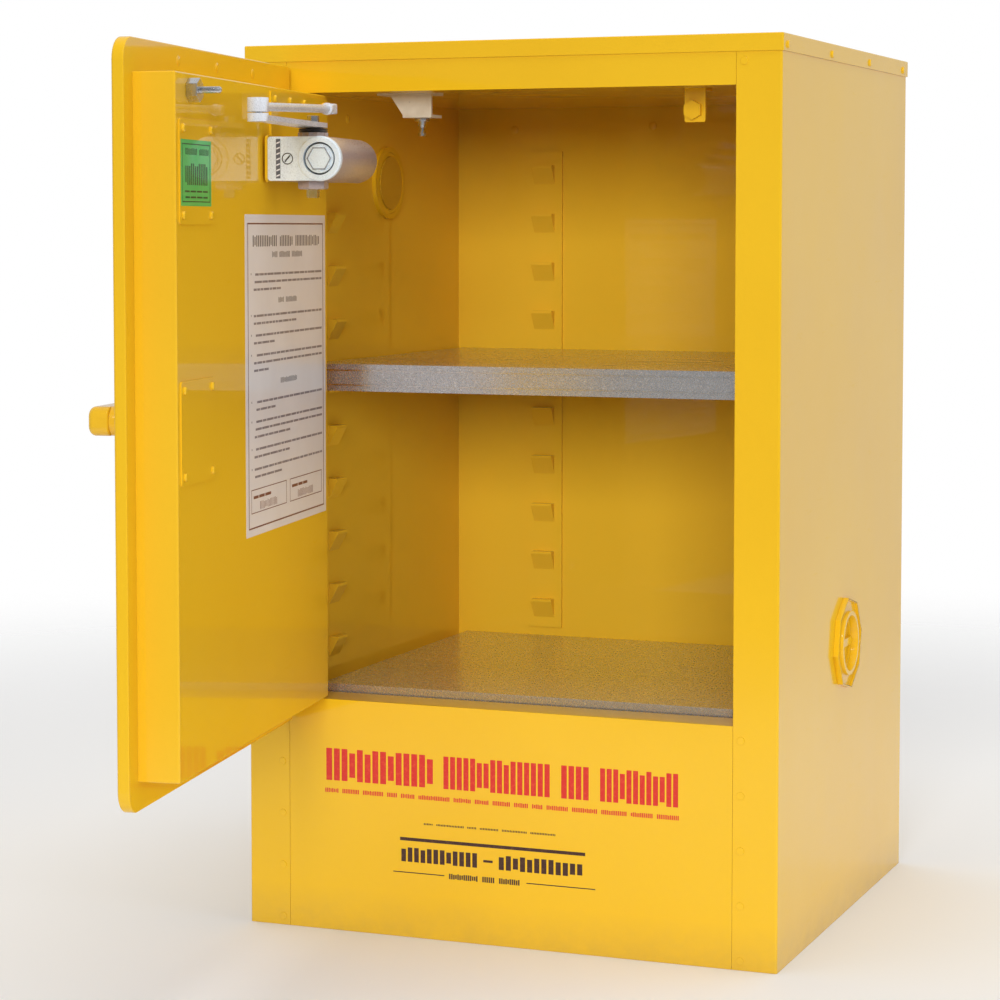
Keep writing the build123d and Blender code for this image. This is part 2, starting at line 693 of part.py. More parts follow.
def handle_grip():
    """Lever that lies level and points to the hinge when unlatched, on a round neck."""
    bottom = HANDLE_Z - GRIP_HEIGHT / 2
    top = HANDLE_Z + GRIP_HEIGHT / 2
    tip = HANDLE_ACROSS - GRIP_REACH
    heel = HANDLE_ACROSS + GRIP_HEEL
    grip = block(tip, heel, GRIP_FRONT, GRIP_BACK, bottom, top)
    grip = fillet(grip.edges().filter_by(Axis.Y), GRIP_CORNER)
    grip = fillet(grip.edges().group_by(Axis.Y)[0], GRIP_FRONT_ROUND)
    grip = fillet(grip.edges().group_by(Axis.Y)[-1], GRIP_BACK_ROUND)
    neck_end = PAN_FRONT - ROSE_THICK - FIT
    grip += rod((HANDLE_ACROSS, GRIP_BACK - 2, HANDLE_Z), (0, 1, 0), NECK, neck_end - GRIP_BACK + 2)
    return grip - rod((HANDLE_ACROSS, GRIP_FRONT + 8, HANDLE_Z), (0, 1, 0), SPINDLE, 60)


def latch_spindle():
    """Shaft from inside the grip to a hexagonal end behind the crank."""
    start = (HANDLE_ACROSS, GRIP_FRONT + 8, HANDLE_Z)
    crank_back = CRANK_FRONT + CRANK_THICK
    shaft = rod(start, (0, 1, 0), SPINDLE, crank_back - GRIP_FRONT - 8)
    hex_start = (HANDLE_ACROSS, crank_back, HANDLE_Z)
    return shaft + hex_bar(hex_start, (0, 1, 0), SPINDLE_HEX, SPINDLE_HEX_LENGTH)


def crank_drop():
    """How far the crank's pin stands below the spindle at rest, and above it when latched."""
    return CRANK_RADIUS * math.sin(math.radians(45))


def latch_crank():
    """Flat arm on the spindle with a pin that reaches forward into the rod's fork."""
    hub = Vector(HANDLE_ACROSS, HANDLE_Z)
    pin = hub - Vector(crank_drop(), crank_drop())
    flat = Plane(origin=(0, CRANK_FRONT, 0), x_dir=(1, 0, 0), z_dir=(0, -1, 0))
    arm = extrude(flat * arm_bar((hub.X, hub.Y), (pin.X, pin.Y), CRANK_HUB, 2 * CRANK_PIN), -CRANK_THICK)
    pin_front = ROD_DEPTH - FORK_THICK / 2 - 0.5
    arm += rod((pin.X, pin_front, pin.Y), (0, 1, 0), CRANK_PIN, CRANK_FRONT - pin_front)
    return arm - rod((hub.X, CRANK_FRONT - 1, hub.Y), (0, 1, 0), SPINDLE, CRANK_THICK + 2)


def latch_rod():
    """Round rod with a side fork that the crank's pin lifts."""
    bar = rod((ROD_ACROSS, ROD_DEPTH, ROD_BOTTOM), Z_AXIS, ROD, ROD_TOP - ROD_BOTTOM)
    bar = chamfer(bar.edges().group_by(Axis.Z)[-1], 1.0)
    middle = HANDLE_Z - crank_drop()
    front = ROD_DEPTH - FORK_THICK / 2
    rear = ROD_DEPTH + FORK_THICK / 2
    low = middle - FORK_HALF_HEIGHT
    high = middle + FORK_HALF_HEIGHT
    fork = block(ROD_ACROSS, FORK_END, front, rear, low, high)
    gap = CRANK_PIN + FORK_SLOT_PLAY
    slot = block(FORK_SLOT_START, FORK_END + 1, front - 1, rear + 1, middle - gap, middle + gap)
    return bar + (fork - slot)


def handle_rose():
    rose = rod((HANDLE_ACROSS, PAN_FRONT - ROSE_THICK, HANDLE_Z), (0, 1, 0), ROSE, ROSE_THICK)
    rose = fillet(rose.edges().group_by(Axis.Y)[0], 1.5)
    return rose - rod((HANDLE_ACROSS, PAN_FRONT - 5, HANDLE_Z), (0, 1, 0), BUSH, 8)


def spindle_bush():
    front = PAN_FRONT - ROSE_THICK
    bush = rod((HANDLE_ACROSS, front, HANDLE_Z), (0, 1, 0), BUSH, 24)
    bush += rod((HANDLE_ACROSS, PAN_FRONT + SHEET, HANDLE_Z), (0, 1, 0), BUSH + 4, 2.5)
    return bush - rod((HANDLE_ACROSS, front - 1, HANDLE_Z), (0, 1, 0), SPINDLE + PIN_FIT, 26)


# ---------------------------------------------------------------- door closer

def closer_base_plate():
    face = BOX_FACE + BASE_PLATE_THICK
    plate = block(BASE_PLATE_NEAR, BASE_PLATE_FAR, BOX_FACE, face, BASE_PLATE_BOTTOM, BASE_PLATE_TOP)
    return plate - holes(plate_screw_points(), (0, 1, 0), SCREW_SHANK + HOLE_PLAY)


def closer_mount_block():
    front = BOX_FACE + BASE_PLATE_THICK
    bottom = CLOSER_Z - MOUNT_HALF_HEIGHT
    top = CLOSER_Z + MOUNT_HALF_HEIGHT
    mount = block(CLOSER_NEAR + 8, CLOSER_FAR + 2, front, CLOSER_BACK, bottom, top)
    return fillet(mount.edges().filter_by(Axis.Y), 5.0)


def closer_body():
    """Cast body: a block against the door that carries the spring cylinder, and two pinion glands."""
    block_part = block(
        CLOSER_NEAR,
        CLOSER_FAR,
        CLOSER_BACK,
        CLOSER_AXIS,
        CLOSER_Z - CLOSER_HALF_HEIGHT,
        CLOSER_Z + CLOSER_HALF_HEIGHT,
    )
    block_part = fillet(block_part.edges().filter_by(Axis.X).group_by(Axis.Y)[0], 2.5)
    length = CLOSER_FAR - CLOSER_NEAR + 3
    cylinder = rod((CLOSER_NEAR - 1, CLOSER_AXIS, CLOSER_Z), (1, 0, 0), CLOSER_RADIUS, length)
    cylinder = chamfer(cylinder.edges().group_by(Axis.X)[-1], 1.2)
    gland_height = ARM_Z - 0.5 - PINION_BOTTOM
    glands = rod((PINION_ACROSS, PINION_DEPTH, PINION_BOTTOM), Z_AXIS, GLAND_SEAL, gland_height)
    lower_nut = hex_bar((0, 0, PINION_BOTTOM), Z_AXIS, GLAND_NUT, CLOSER_Z - PINION_BOTTOM)
    lower_nut = chamfer(lower_nut.edges().group_by(Axis.Z)[0], 1.2)
    upper_nut = hex_bar((0, 0, CLOSER_Z), Z_AXIS, GLAND_NUT, GLAND_NUT_TOP - CLOSER_Z)
    nuts = lower_nut + upper_nut + Rot(0, 0, 30) * upper_nut
    glands += Pos(PINION_ACROSS, PINION_DEPTH, 0) * nuts
    recess = rod((CLOSER_FAR - END_PLUG_DEPTH, CLOSER_AXIS, CLOSER_Z), (1, 0, 0), END_RECESS, 5)
    bore_bottom = (PINION_ACROSS, PINION_DEPTH, PINION_BOTTOM - 5)
    pinion_bore = rod(bore_bottom, Z_AXIS, PINION + PIN_FIT, gland_height + 10)
    screw_bore = rod(speed_screw_seat(), (1, 0, 0), SPEED_BORE, SPEED_SCREW_LENGTH + 3)
    return block_part + cylinder + glands - recess - pinion_bore - screw_bore


def closer_end_plug():
    centre = (CLOSER_FAR - END_PLUG_DEPTH, CLOSER_AXIS, CLOSER_Z)
    plug = rod(centre, (1, 0, 0), END_PLUG, END_PLUG_DEPTH + END_PLUG_PROUD)
    hex_foot = (CLOSER_FAR + END_PLUG_PROUD, CLOSER_AXIS, CLOSER_Z)
    return plug + hex_bar(hex_foot, (1, 0, 0), END_HEX, END_HEX_THICK)


def speed_screw_seat():
    return (CLOSER_FAR - 6, SPEED_SCREW_DEPTH, CLOSER_Z)


def closer_speed_screw():
    screw = rod(speed_screw_seat(), (1, 0, 0), SPEED_SCREW, SPEED_SCREW_LENGTH)
    slot = Pos(CLOSER_FAR - 0.2, SPEED_SCREW_DEPTH, CLOSER_Z) * Rot(40, 0, 0) * Box(1.6, 7.0, 1.2)
    return screw - slot


def closer_pinion():
    """Shaft through the body, with a square lower end."""
    shaft = rod((PINION_ACROSS, PINION_DEPTH, PINION_BOTTOM), Z_AXIS, PINION, ARM_Z - PINION_BOTTOM)
    middle_z = (PINION_BOTTOM + PINION_SQUARE_BOTTOM) / 2
    length = PINION_BOTTOM - PINION_SQUARE_BOTTOM
    square = Pos(PINION_ACROSS, PINION_DEPTH, middle_z) * Box(PINION_SQUARE, PINION_SQUARE, length)
    return shaft + square


def main_arm():
    pinion = (PINION_ACROSS, PINION_DEPTH)
    elbow = (ELBOW_ACROSS, ELBOW_DEPTH)
    bar = Pos(0, 0, ARM_Z) * extrude(arm_bar(pinion, elbow, ARM_HUB, ELBOW - 1.0), ARM_THICK)
    knuckle = rod((*elbow, ARM_Z - 1.0), Z_AXIS, ELBOW, ELBOW_SPLIT_Z - ARM_Z + 1.0)
    bore = rod((*elbow, ARM_Z - 2.0), Z_AXIS, ELBOW_PIN, 10)
    return bar + knuckle - bore


def elbow_pin():
    return rod((ELBOW_ACROSS, ELBOW_DEPTH, ARM_Z - 1.0), Z_AXIS, ELBOW_PIN, ELBOW_TOP_Z - ARM_Z)


def arm_screw():
    seat = (PINION_ACROSS, PINION_DEPTH, ARM_Z + ARM_THICK)
    return hex_bar(seat, Z_AXIS, ARM_SCREW, ARM_SCREW_HEIGHT)


def forearm_ends():
    near = Vector(ELBOW_ACROSS, ELBOW_DEPTH, FOREARM_NEAR_Z)
    far = Vector(FOREARM_END_ACROSS, FOREARM_END_DEPTH, FOREARM_FAR_Z)
    return near, far


def forearm():
    """Round rod that rises from the elbow head to the far end."""
    head_bottom = ELBOW_SPLIT_Z + 1.0
    head = rod((ELBOW_ACROSS, ELBOW_DEPTH, head_bottom), Z_AXIS, ELBOW, ELBOW_TOP_Z - head_bottom)
    near, far = forearm_ends()
    run = far - near
    bar = rod(tuple(near), tuple(run), FOREARM, run.length - 6.0)
    bore = rod((ELBOW_ACROSS, ELBOW_DEPTH, ELBOW_SPLIT_Z - 5), Z_AXIS, ELBOW_PIN + PIN_FIT, 20)
    return head + bar - bore


def forearm_socket():
    """Collar and square block at the forearm's end, which clips over the ceiling stud."""
    near, far = forearm_ends()
    along = (far - near).normalized()
    frame = Plane(origin=far - along * 6.0, x_dir=(0, 0, 1), z_dir=along)
    collar = extrude(Plane(origin=far - along * 11.0, z_dir=along) * Circle(5.0), 5.0)
    collar -= extrude(Plane(origin=far - along * 12.0, z_dir=along) * Circle(FOREARM), 6.0)
    socket = extrude(frame * RectangleRounded(8.6, 8.6, 1.2), 10.0)
    return collar + socket


# ---------------------------------------------------------------- ceiling fittings

def closer_bracket():
    """Folded bracket: ceiling flange, slanted web at the front and a foot that holds the stud."""
    flange = block(
        BRACKET_LEFT, BRACKET_RIGHT, BRACKET_FRONT, BRACKET_REAR, CEILING_Z - BRACKET_THICK, CEILING_Z
    )
    outline = Polyline(
        (BRACKET_LEFT + 11, CEILING_Z),
        (BRACKET_RIGHT, CEILING_Z),
        (BRACKET_RIGHT, BRACKET_FOOT_Z),
        (BRACKET_LEFT + 25, BRACKET_FOOT_Z),
        close=True,
    )
    web_plane = Plane(origin=(0, BRACKET_FRONT, 0), x_dir=(1, 0, 0), z_dir=(0, -1, 0))
    web = extrude(web_plane * make_face(outline), -BRACKET_THICK)
    foot_left = BRACKET_LEFT + 25
    foot_bottom = BRACKET_FOOT_Z - BRACKET_THICK
    foot = block(
        foot_left, BRACKET_RIGHT, BRACKET_FRONT, BRACKET_REAR - 4, foot_bottom, BRACKET_FOOT_Z
    )
    stud_hole = rod((STUD_X, STUD_Y, BRACKET_FOOT_Z - 5), Z_AXIS, STUD + HOLE_PLAY, 8)
    return flange + web + foot - stud_hole


def soffit_stud():
    """Shouldered stud with a collar under the foot and a groove near its tip."""
    foot_under = BRACKET_FOOT_Z - BRACKET_THICK
    stud = rod((STUD_X, STUD_Y, STUD_BOTTOM), Z_AXIS, STUD, BRACKET_FOOT_Z + 3 - STUD_BOTTOM)
    stud += rod((STUD_X, STUD_Y, foot_under - 3.0), Z_AXIS, 7.0, 3.0)
    groove = rod((STUD_X, STUD_Y, STUD_BOTTOM + 3.0), Z_AXIS, 8.0, 5.0)
    groove -= rod((STUD_X, STUD_Y, STUD_BOTTOM), Z_AXIS, 2.5, 12.0)
    stud = stud - groove
    return chamfer(stud.edges().group_by(Axis.Z)[0], 0.8)


def strike_bracket():
    tab = block(STRIKE_LEFT, STRIKE_RIGHT, STRIKE_Y, STRIKE_Y + STRIKE_THICK, STRIKE_BOTTOM, CEILING_Z)
    flange = block(STRIKE_LEFT, STRIKE_RIGHT, STRIKE_Y, STRIKE_Y + 20, CEILING_Z - STRIKE_THICK, CEILING_Z)
    tab = fillet(tab.edges().filter_by(Axis.Y).group_by(Axis.Z)[0], 2.0)
    return tab + flange - holes([strike_bolt_centre()], (0, 1, 0), 3.0 + HOLE_PLAY)


def strike_bolt_centre():
    return ((STRIKE_LEFT + STRIKE_RIGHT) / 2 - 1.5, STRIKE_Y, STRIKE_BOLT_Z)


def strike_bolt():
    head = hex_bar(strike_bolt_centre(), (0, -1, 0), 8.6, 4.6)
    return head + rod(strike_bolt_centre(), (0, 1, 0), 3.0, 5.0)


# ---------------------------------------------------------------- write every part

os.makedirs("parts", exist_ok=True)

left_panel = left_side()
right_panel = mirror(left_panel, about=Plane.YZ)

save_all({
    "left_side_panel": left_panel - vent_hole(-1, LEFT_VENT_Z) - hinge_jamb_holes(),
    "right_side_panel": right_panel - vent_hole(1, RIGHT_VENT_Z),
    "outer_back_panel": outer_back(),
    "outer_base_panel": outer_base(),
    "top_cap": top_cap(),
    "upper_front_rail": across_front(SOFFIT_Z, BODY_TOP, SOFFIT_Z) - keeper_hole(),
    "lower_front_panel": across_front(0, SILL_Z, SILL_Z - SHEET),
    "inner_left_wall": inner_side(-1) - vent_hole(-1, LEFT_VENT_Z),
    "inner_right_wall": inner_side(1) - vent_hole(1, RIGHT_VENT_Z),
    "inner_back_wall": inner_back(),
    "inner_ceiling": inner_ceiling(),
    "spill_sump": spill_sump(),
    "shell_rivets": shell_rivets(),
    "closer_bracket": closer_bracket(),
    "soffit_stud": soffit_stud(),
    "strike_bracket": strike_bracket(),
    "strike_bolt": strike_bolt(),
    "shelf": shelf(),
    "base_tray": base_tray(),
})
save_all(shelf_strips())
save_all(vent(-1, LEFT_VENT_Z))
save_all(vent(1, RIGHT_VENT_Z))
save_all(hinge_fixed())

save_on_door({
    "door_outer_pan": door_pan(),
    "door_inner_box": door_box(),
    "hinge_door_leaf": hinge_leaf(1, 1),
    "hinge_door_rivets": leaf_rivets(KNUCKLE - LEAF, (-1, 0, 0), 4.0),
    "upper_cover_plate": cover_plate(UPPER_COVER_Z),
    "lower_cover_plate": cover_plate(LOWER_COVER_Z),
    "door_screws": door_screws(),
    "closer_base_plate": closer_base_plate(),
    "closer_mount_block": closer_mount_block(),
    "closer_body": closer_body(),
    "closer_end_plug": closer_end_plug(),
    "closer_speed_screw": closer_speed_screw(),
    "catch_pin": catch_pin(),
    "catch_nut": catch_nut(),
    "handle_rose": handle_rose(),
    "spindle_bush": spindle_bush(),
    "handle_grip": handle_grip(),
    "latch_spindle": latch_spindle(),
    "latch_crank": latch_crank(),
    "latch_rod": latch_rod(),
    "closer_pinion": closer_pinion(),
    "main_arm": main_arm(),
    "arm_screw": arm_screw(),
    "elbow_pin": elbow_pin(),
    "forearm": forearm(),
    "forearm_socket": forearm_socket(),
})
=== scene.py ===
import json
import math
import random

import bmesh
import bpy
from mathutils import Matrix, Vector


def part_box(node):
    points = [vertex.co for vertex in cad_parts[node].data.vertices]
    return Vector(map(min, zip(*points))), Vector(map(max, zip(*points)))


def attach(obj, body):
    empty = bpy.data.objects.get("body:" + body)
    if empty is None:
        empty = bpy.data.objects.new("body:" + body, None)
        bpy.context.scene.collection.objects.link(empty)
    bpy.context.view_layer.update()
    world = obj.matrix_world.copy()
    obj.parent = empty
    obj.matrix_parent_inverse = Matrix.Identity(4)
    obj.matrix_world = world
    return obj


# A small steel cabinet for flammable liquids, standing open. Metres, in the frame of the CAD model:
# origin on the floor under the middle of the cabinet, +X right, +Y to the rear, +Z up.

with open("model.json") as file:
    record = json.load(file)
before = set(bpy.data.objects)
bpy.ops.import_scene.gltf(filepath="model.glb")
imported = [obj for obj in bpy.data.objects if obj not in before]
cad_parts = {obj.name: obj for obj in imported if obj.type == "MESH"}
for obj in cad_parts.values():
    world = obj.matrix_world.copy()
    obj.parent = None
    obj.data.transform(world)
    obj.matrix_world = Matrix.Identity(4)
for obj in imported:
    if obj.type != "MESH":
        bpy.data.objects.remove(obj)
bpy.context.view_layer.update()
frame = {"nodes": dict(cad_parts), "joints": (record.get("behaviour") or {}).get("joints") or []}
NODES = frame["nodes"]
JOINTS = {joint["name"]: joint for joint in frame["joints"]}

# The door's own axes: HINGE, the way ACROSS it from there, and DEPTH from its outer to its inner face,
# which is DOOR_FACE along. The hinge's lower limit is the shut door, so it says how far open rest is.
DOOR_OPEN = math.radians(-JOINTS["door_hinge"]["range_deg"][0])
HINGE = Vector(JOINTS["door_hinge"]["pos_m"])
ACROSS = Vector((math.cos(DOOR_OPEN), -math.sin(DOOR_OPEN), 0))
DEPTH = Vector((math.sin(DOOR_OPEN), math.cos(DOOR_OPEN), 0))
DOOR_FACE = 0.036

FRONT_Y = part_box("lower_front_panel")[0].y
BACK_WALL_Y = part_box("inner_back_wall")[0].y
LEFT_WALL_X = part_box("inner_left_wall")[1].x
SHELF_LOW, SHELF_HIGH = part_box("shelf")
SHELF_LIP_Y = SHELF_LOW.y

# The door closer: its end and the rim there along ACROSS, its height, its plug and screw along DEPTH
CLOSER_END = 0.192
CLOSER_RIM = 0.003
CLOSER_HEIGHT = 0.6935
PLUG_OUT = 0.0845
SCREW_OUT = 0.0568

# The camera, as solved from the photograph
PHOTO_WIDTH = 1000
FOCAL_PIXELS = 2779.1
CAMERA_PLACE = (0.8855, -2.4888, 0.6367)
CAMERA_YAW = math.radians(21.452)
CAMERA_PITCH = math.radians(3.551)
CAMERA_SHIFT_Y = -0.1

# Tones that several materials share
YELLOW = (0.87, 0.52, 0.014)
YELLOW_DEEP = (0.83, 0.485, 0.012)
# The same yellow paint as the shell, brighter and paler inside: painted light and painted reflection in the
# chamber
CHAMBER_LIT = (0.93, 0.575, 0.036)
CHAMBER_LIT_DEEP = (0.90, 0.545, 0.032)
LINING = (0.87, 0.515, 0.018)
LINING_DEEP = (0.83, 0.475, 0.015)
SILVER = (0.84, 0.94, 1.0)
SILVER_DEEP = (0.73, 0.82, 0.92)
# Painted shade and painted reflection of the orange cabinet: a darker, warmer tone for the closer's cylinder,
# and how fast it sets in behind the end rim, per metre
CLOSER_CYLINDER_PAINTED_SHADE = (0.46, 0.38, 0.37)
PAINTED_SHADE_PER_METRE = 600.0


# ---------------------------------------------------------------- materials

class Finish:
    """One procedural material. Its methods add nodes and hand back their output sockets."""

    def __init__(self, name, settings):
        self.material = bpy.data.materials.new(name)
        self.material.use_nodes = True
        self.tree = self.material.node_tree
        self.shader = self.tree.nodes["Principled BSDF"]
        for socket, value in settings.items():
            self.shader.inputs[socket].default_value = value
        self.place = self.node("ShaderNodeTexCoord").outputs["Object"]

    def node(self, kind, inputs=None, **settings):
        made = self.tree.nodes.new(kind)
        for key, value in settings.items():
            setattr(made, key, value)
        for socket, value in (inputs or {}).items():
            self.put(made.inputs[socket], value)
        return made

    def put(self, socket, value):
        """A node's output is linked to the socket, and a number or colour is set on it."""
        if isinstance(value, bpy.types.NodeSocket):
            self.tree.links.new(value, socket)
        else:
            socket.default_value = value

    def stretched(self, sx, sy, sz):
        """The place in the object, scaled along each axis."""
        return self.node("ShaderNodeMapping", {"Vector": self.place, "Scale": (sx, sy, sz)}).outputs[0]

    def noise(self, scale, detail=3.0, roughness=0.55, place=None):
        inputs = {"Vector": place or self.place, "Scale": scale, "Detail": detail, "Roughness": roughness}
        return self.node("ShaderNodeTexNoise", inputs).outputs["Fac"]

    def ramp(self, value, stops):
        made = self.node("ShaderNodeValToRGB", {"Fac": value})
        elements = made.color_ramp.elements
        while len(elements) < len(stops):
            elements.new(0.5)
        for element, (position, colour) in zip(elements, stops):
            element.position = position
            if isinstance(colour, (int, float)):
                colour = (colour, colour, colour)
            element.color = (*colour, 1.0)
        return made.outputs["Color"]

    def span(self, value, low, high):
        """A 0 to 1 value moved to the range low to high."""
        inputs = {"Value": value, "To Min": low, "To Max": high}
        return self.node("ShaderNodeMapRange", inputs).outputs["Result"]

    def mix(self, factor, first, second):
        made = self.node("ShaderNodeMix", data_type="RGBA")
        self.put(made.inputs["Factor"], factor)
        for socket, value in (("A", first), ("B", second)):
            colour_socket = [s for s in made.inputs if s.name == socket and s.type == "RGBA"][0]
            if isinstance(value, tuple):
                value = (*value, 1.0)
            self.put(colour_socket, value)
        return [s for s in made.outputs if s.type == "RGBA"][0]

    def maths(self, operation, first, second):
        made = self.node("ShaderNodeMath", operation=operation)
        self.put(made.inputs[0], first)
        self.put(made.inputs[1], second)
        return made.outputs[0]

    def height(self):
        return self.node("ShaderNodeSeparateXYZ", {"Vector": self.place}).outputs["Z"]

    def bump(self, height, distance, under=None):
        made = self.node("ShaderNodeBump", {"Height": height, "Distance": distance, "Strength": 1.0})
        if under is not None:
            self.put(made.inputs["Normal"], under)
        return made.outputs["Normal"]

    def finish(self, **sockets):
        """Links the shader's own sockets, named with _ for each space."""
        for name, value in sockets.items():
            self.put(self.shader.inputs[name.replace("_", " ")], value)
        return self.material


def enamel(name, wave, colour=YELLOW, deep=YELLOW_DEEP, gloss=0.06, grime_height=0.0):
    """Oven-cured gloss paint on sheet steel: tone drift, specks, orange peel, long ripples, faint scuffs."""
    settings = {"Coat Weight": 0.85, "Coat Roughness": gloss, "Coat IOR": 1.5, "Specular IOR Level": 0.05}
    paint = Finish(name, settings)
    drift = paint.noise(3.5, 2.0)
    tone = paint.ramp(drift, [(0.3, deep), (0.62, colour)])
    fine = paint.noise(420.0, 2.0)
    tone = paint.mix(paint.span(fine, 0.0, 0.10), tone, tuple(0.9 * part for part in deep))
    specks = paint.noise(900.0, 1.0)
    speck_mask = paint.ramp(specks, [(0.80, 0.0), (0.84, 0.35)])
    tone = paint.mix(speck_mask, tone, (0.42, 0.24, 0.02))
    scuffs = paint.noise(3.0, 5.0, 0.7, place=paint.stretched(9.0, 9.0, 60.0))
    scuff_mask = paint.ramp(scuffs, [(0.62, 0.0), (0.72, 1.0)])
    if grime_height:
        fall = {"From Min": 0.0, "From Max": grime_height, "To Min": 0.5, "To Max": 0.0}
        low = paint.node("ShaderNodeMapRange", {"Value": paint.height(), **fall}).outputs["Result"]
        ragged = paint.maths("MULTIPLY", low, paint.noise(38.0, 5.0, 0.7))
        tone = paint.mix(ragged, tone, (0.33, 0.22, 0.07))
    rough = paint.span(paint.noise(14.0, 4.0), 0.27, 0.40)
    rough = paint.maths("ADD", rough, paint.maths("MULTIPLY", scuff_mask, 0.10))
    ripples = paint.bump(paint.noise(5.5, 1.0), wave * 8)
    peel = paint.bump(paint.noise(520.0, 2.0), 0.00009, under=ripples)
    smooth = paint.bump(paint.noise(90.0, 1.0), wave * 0.03, under=ripples)
    return paint.finish(Coat_Normal=smooth, Base_Color=tone, Roughness=rough, Normal=peel)


def galvanised(name):
    """Zinc-dipped sheet with small pale crystals and rolling streaks."""
    metal = Finish(name, {"Metallic": 0.8, "Specular IOR Level": 0.3})
    warp = metal.node("ShaderNodeTexNoise", {"Vector": metal.place, "Scale": 60.0, "Detail": 2.0})
    small = metal.node("ShaderNodeVectorMath", {0: warp.outputs["Color"], "Scale": 0.003}, operation="SCALE")
    shifted = metal.node("ShaderNodeVectorMath", {0: metal.place, 1: small.outputs[0]}, operation="ADD")
    crystals = metal.node("ShaderNodeTexVoronoi", {"Vector": shifted.outputs[0], "Scale": 850.0})
    cell = metal.node("ShaderNodeSeparateColor", {"Color": crystals.outputs["Color"]})
    zinc_tones = [
        (0.0, (0.60, 0.60, 0.62)),
        (0.6, (0.66, 0.665, 0.69)),
        (0.9, (0.68, 0.69, 0.72)),
        (1.0, (0.88, 0.88, 0.90)),
    ]
    tone = metal.ramp(cell.outputs["Red"], zinc_tones)
    streaks = metal.noise(4.0, 5.0, 0.7, place=metal.stretched(2.0, 180.0, 180.0))
    tone = metal.mix(metal.span(streaks, 0.0, 0.35), tone, (0.60, 0.58, 0.57))
    white_rust = metal.ramp(metal.noise(11.0, 6.0, 0.7), [(0.56, 0.0), (0.72, 0.5)])
    tone = metal.mix(white_rust, tone, (0.70, 0.68, 0.66))
    rough = metal.span(cell.outputs["Green"], 0.20, 0.30)
    rough = metal.maths("ADD", rough, metal.maths("MULTIPLY", white_rust, 0.25))
    relief = metal.bump(crystals.outputs["Distance"], 0.000006)
    relief = metal.bump(streaks, 0.00003, under=relief)
    relief = metal.bump(metal.noise(9.0, 1.0), 0.0005, under=relief)
    return metal.finish(Base_Color=tone, Roughness=rough, Normal=relief)


def bright_zinc(name, colour=(0.74, 0.75, 0.77), dull=(0.55, 0.55, 0.56)):
    """Turned and plated steel: fine tool marks, clouded plating."""
    metal = Finish(name, {"Metallic": 1.0})
    clouds = metal.noise(90.0, 4.0, 0.6)
    tone = metal.ramp(clouds, [(0.3, dull), (0.65, colour)])
    marks = metal.noise(2.0, 3.0, 0.6, place=metal.stretched(300.0, 300.0, 900.0))
    rough = metal.span(clouds, 0.18, 0.36)
    relief = metal.bump(marks, 0.00003)
    return metal.finish(Base_Color=tone, Roughness=rough, Normal=relief)


def silver_enamel(name, colour=SILVER, deep=SILVER_DEEP, metallic=0.22, grain=0.00012, cylinder_shade=None):
    """Sprayed aluminium paint: metal flake and pores. The last argument, when given, is a darker, warmer tone
    laid over the closer's cylinder behind its end rim: painted shade and painted reflection of the orange
    cabinet around it.
    """
    paint = Finish(name, {"Coat Weight": 0.35, "Coat Roughness": 0.18, "Metallic": metallic})
    flakes = paint.node("ShaderNodeTexVoronoi", {"Vector": paint.place, "Scale": 2600.0})
    glint = paint.node("ShaderNodeSeparateColor", {"Color": flakes.outputs["Color"]}).outputs["Red"]
    clouds = paint.noise(45.0, 4.0, 0.6)
    tone = paint.ramp(clouds, [(0.3, deep), (0.65, colour)])
    tone = paint.mix(paint.span(glint, 0.0, 0.18), tone, (0.85, 0.86, 0.88))
    # Painted shade and painted reflection: the cylinder behind the end rim is darkened and warmed
    if cylinder_shade:
        along = paint.node("ShaderNodeVectorMath", {0: paint.place, 1: ACROSS}, operation="DOT_PRODUCT")
        rim_back = HINGE.dot(ACROSS) + CLOSER_END - CLOSER_RIM
        behind = paint.maths("SUBTRACT", rim_back, along.outputs["Value"])
        cylinder_shade_mask = paint.maths("MULTIPLY", behind, PAINTED_SHADE_PER_METRE)
        cylinder_shade_mask.node.use_clamp = True
        tone = paint.mix(cylinder_shade_mask, tone, cylinder_shade)
    pores = paint.ramp(paint.noise(700.0, 2.0), [(0.74, 0.0), (0.80, 1.0)])
    tone = paint.mix(paint.maths("MULTIPLY", pores, 0.4), tone, (0.25, 0.25, 0.26))
    rough = paint.span(glint, 0.24, 0.40)
    relief = paint.bump(paint.noise(620.0, 3.0, 0.6), grain)
    return paint.finish(Base_Color=tone, Roughness=rough, Normal=relief)


def cream_enamel(name):
    """Thick brushed enamel, chipped here and there."""
    paint = Finish(name, {"Coat Weight": 0.4, "Coat Roughness": 0.12})
    clouds = paint.noise(60.0, 4.0)
    tone = paint.ramp(clouds, [(0.3, (0.58, 0.51, 0.40)), (0.6, (0.70, 0.64, 0.53))])
    chips = paint.ramp(paint.noise(160.0, 6.0, 0.7), [(0.66, 0.0), (0.70, 0.8)])
    tone = paint.mix(chips, tone, (0.40, 0.36, 0.31))
    relief = paint.bump(paint.noise(480.0, 2.0), 0.00008)
    return paint.finish(Base_Color=tone, Roughness=paint.span(clouds, 0.28, 0.42), Normal=relief)


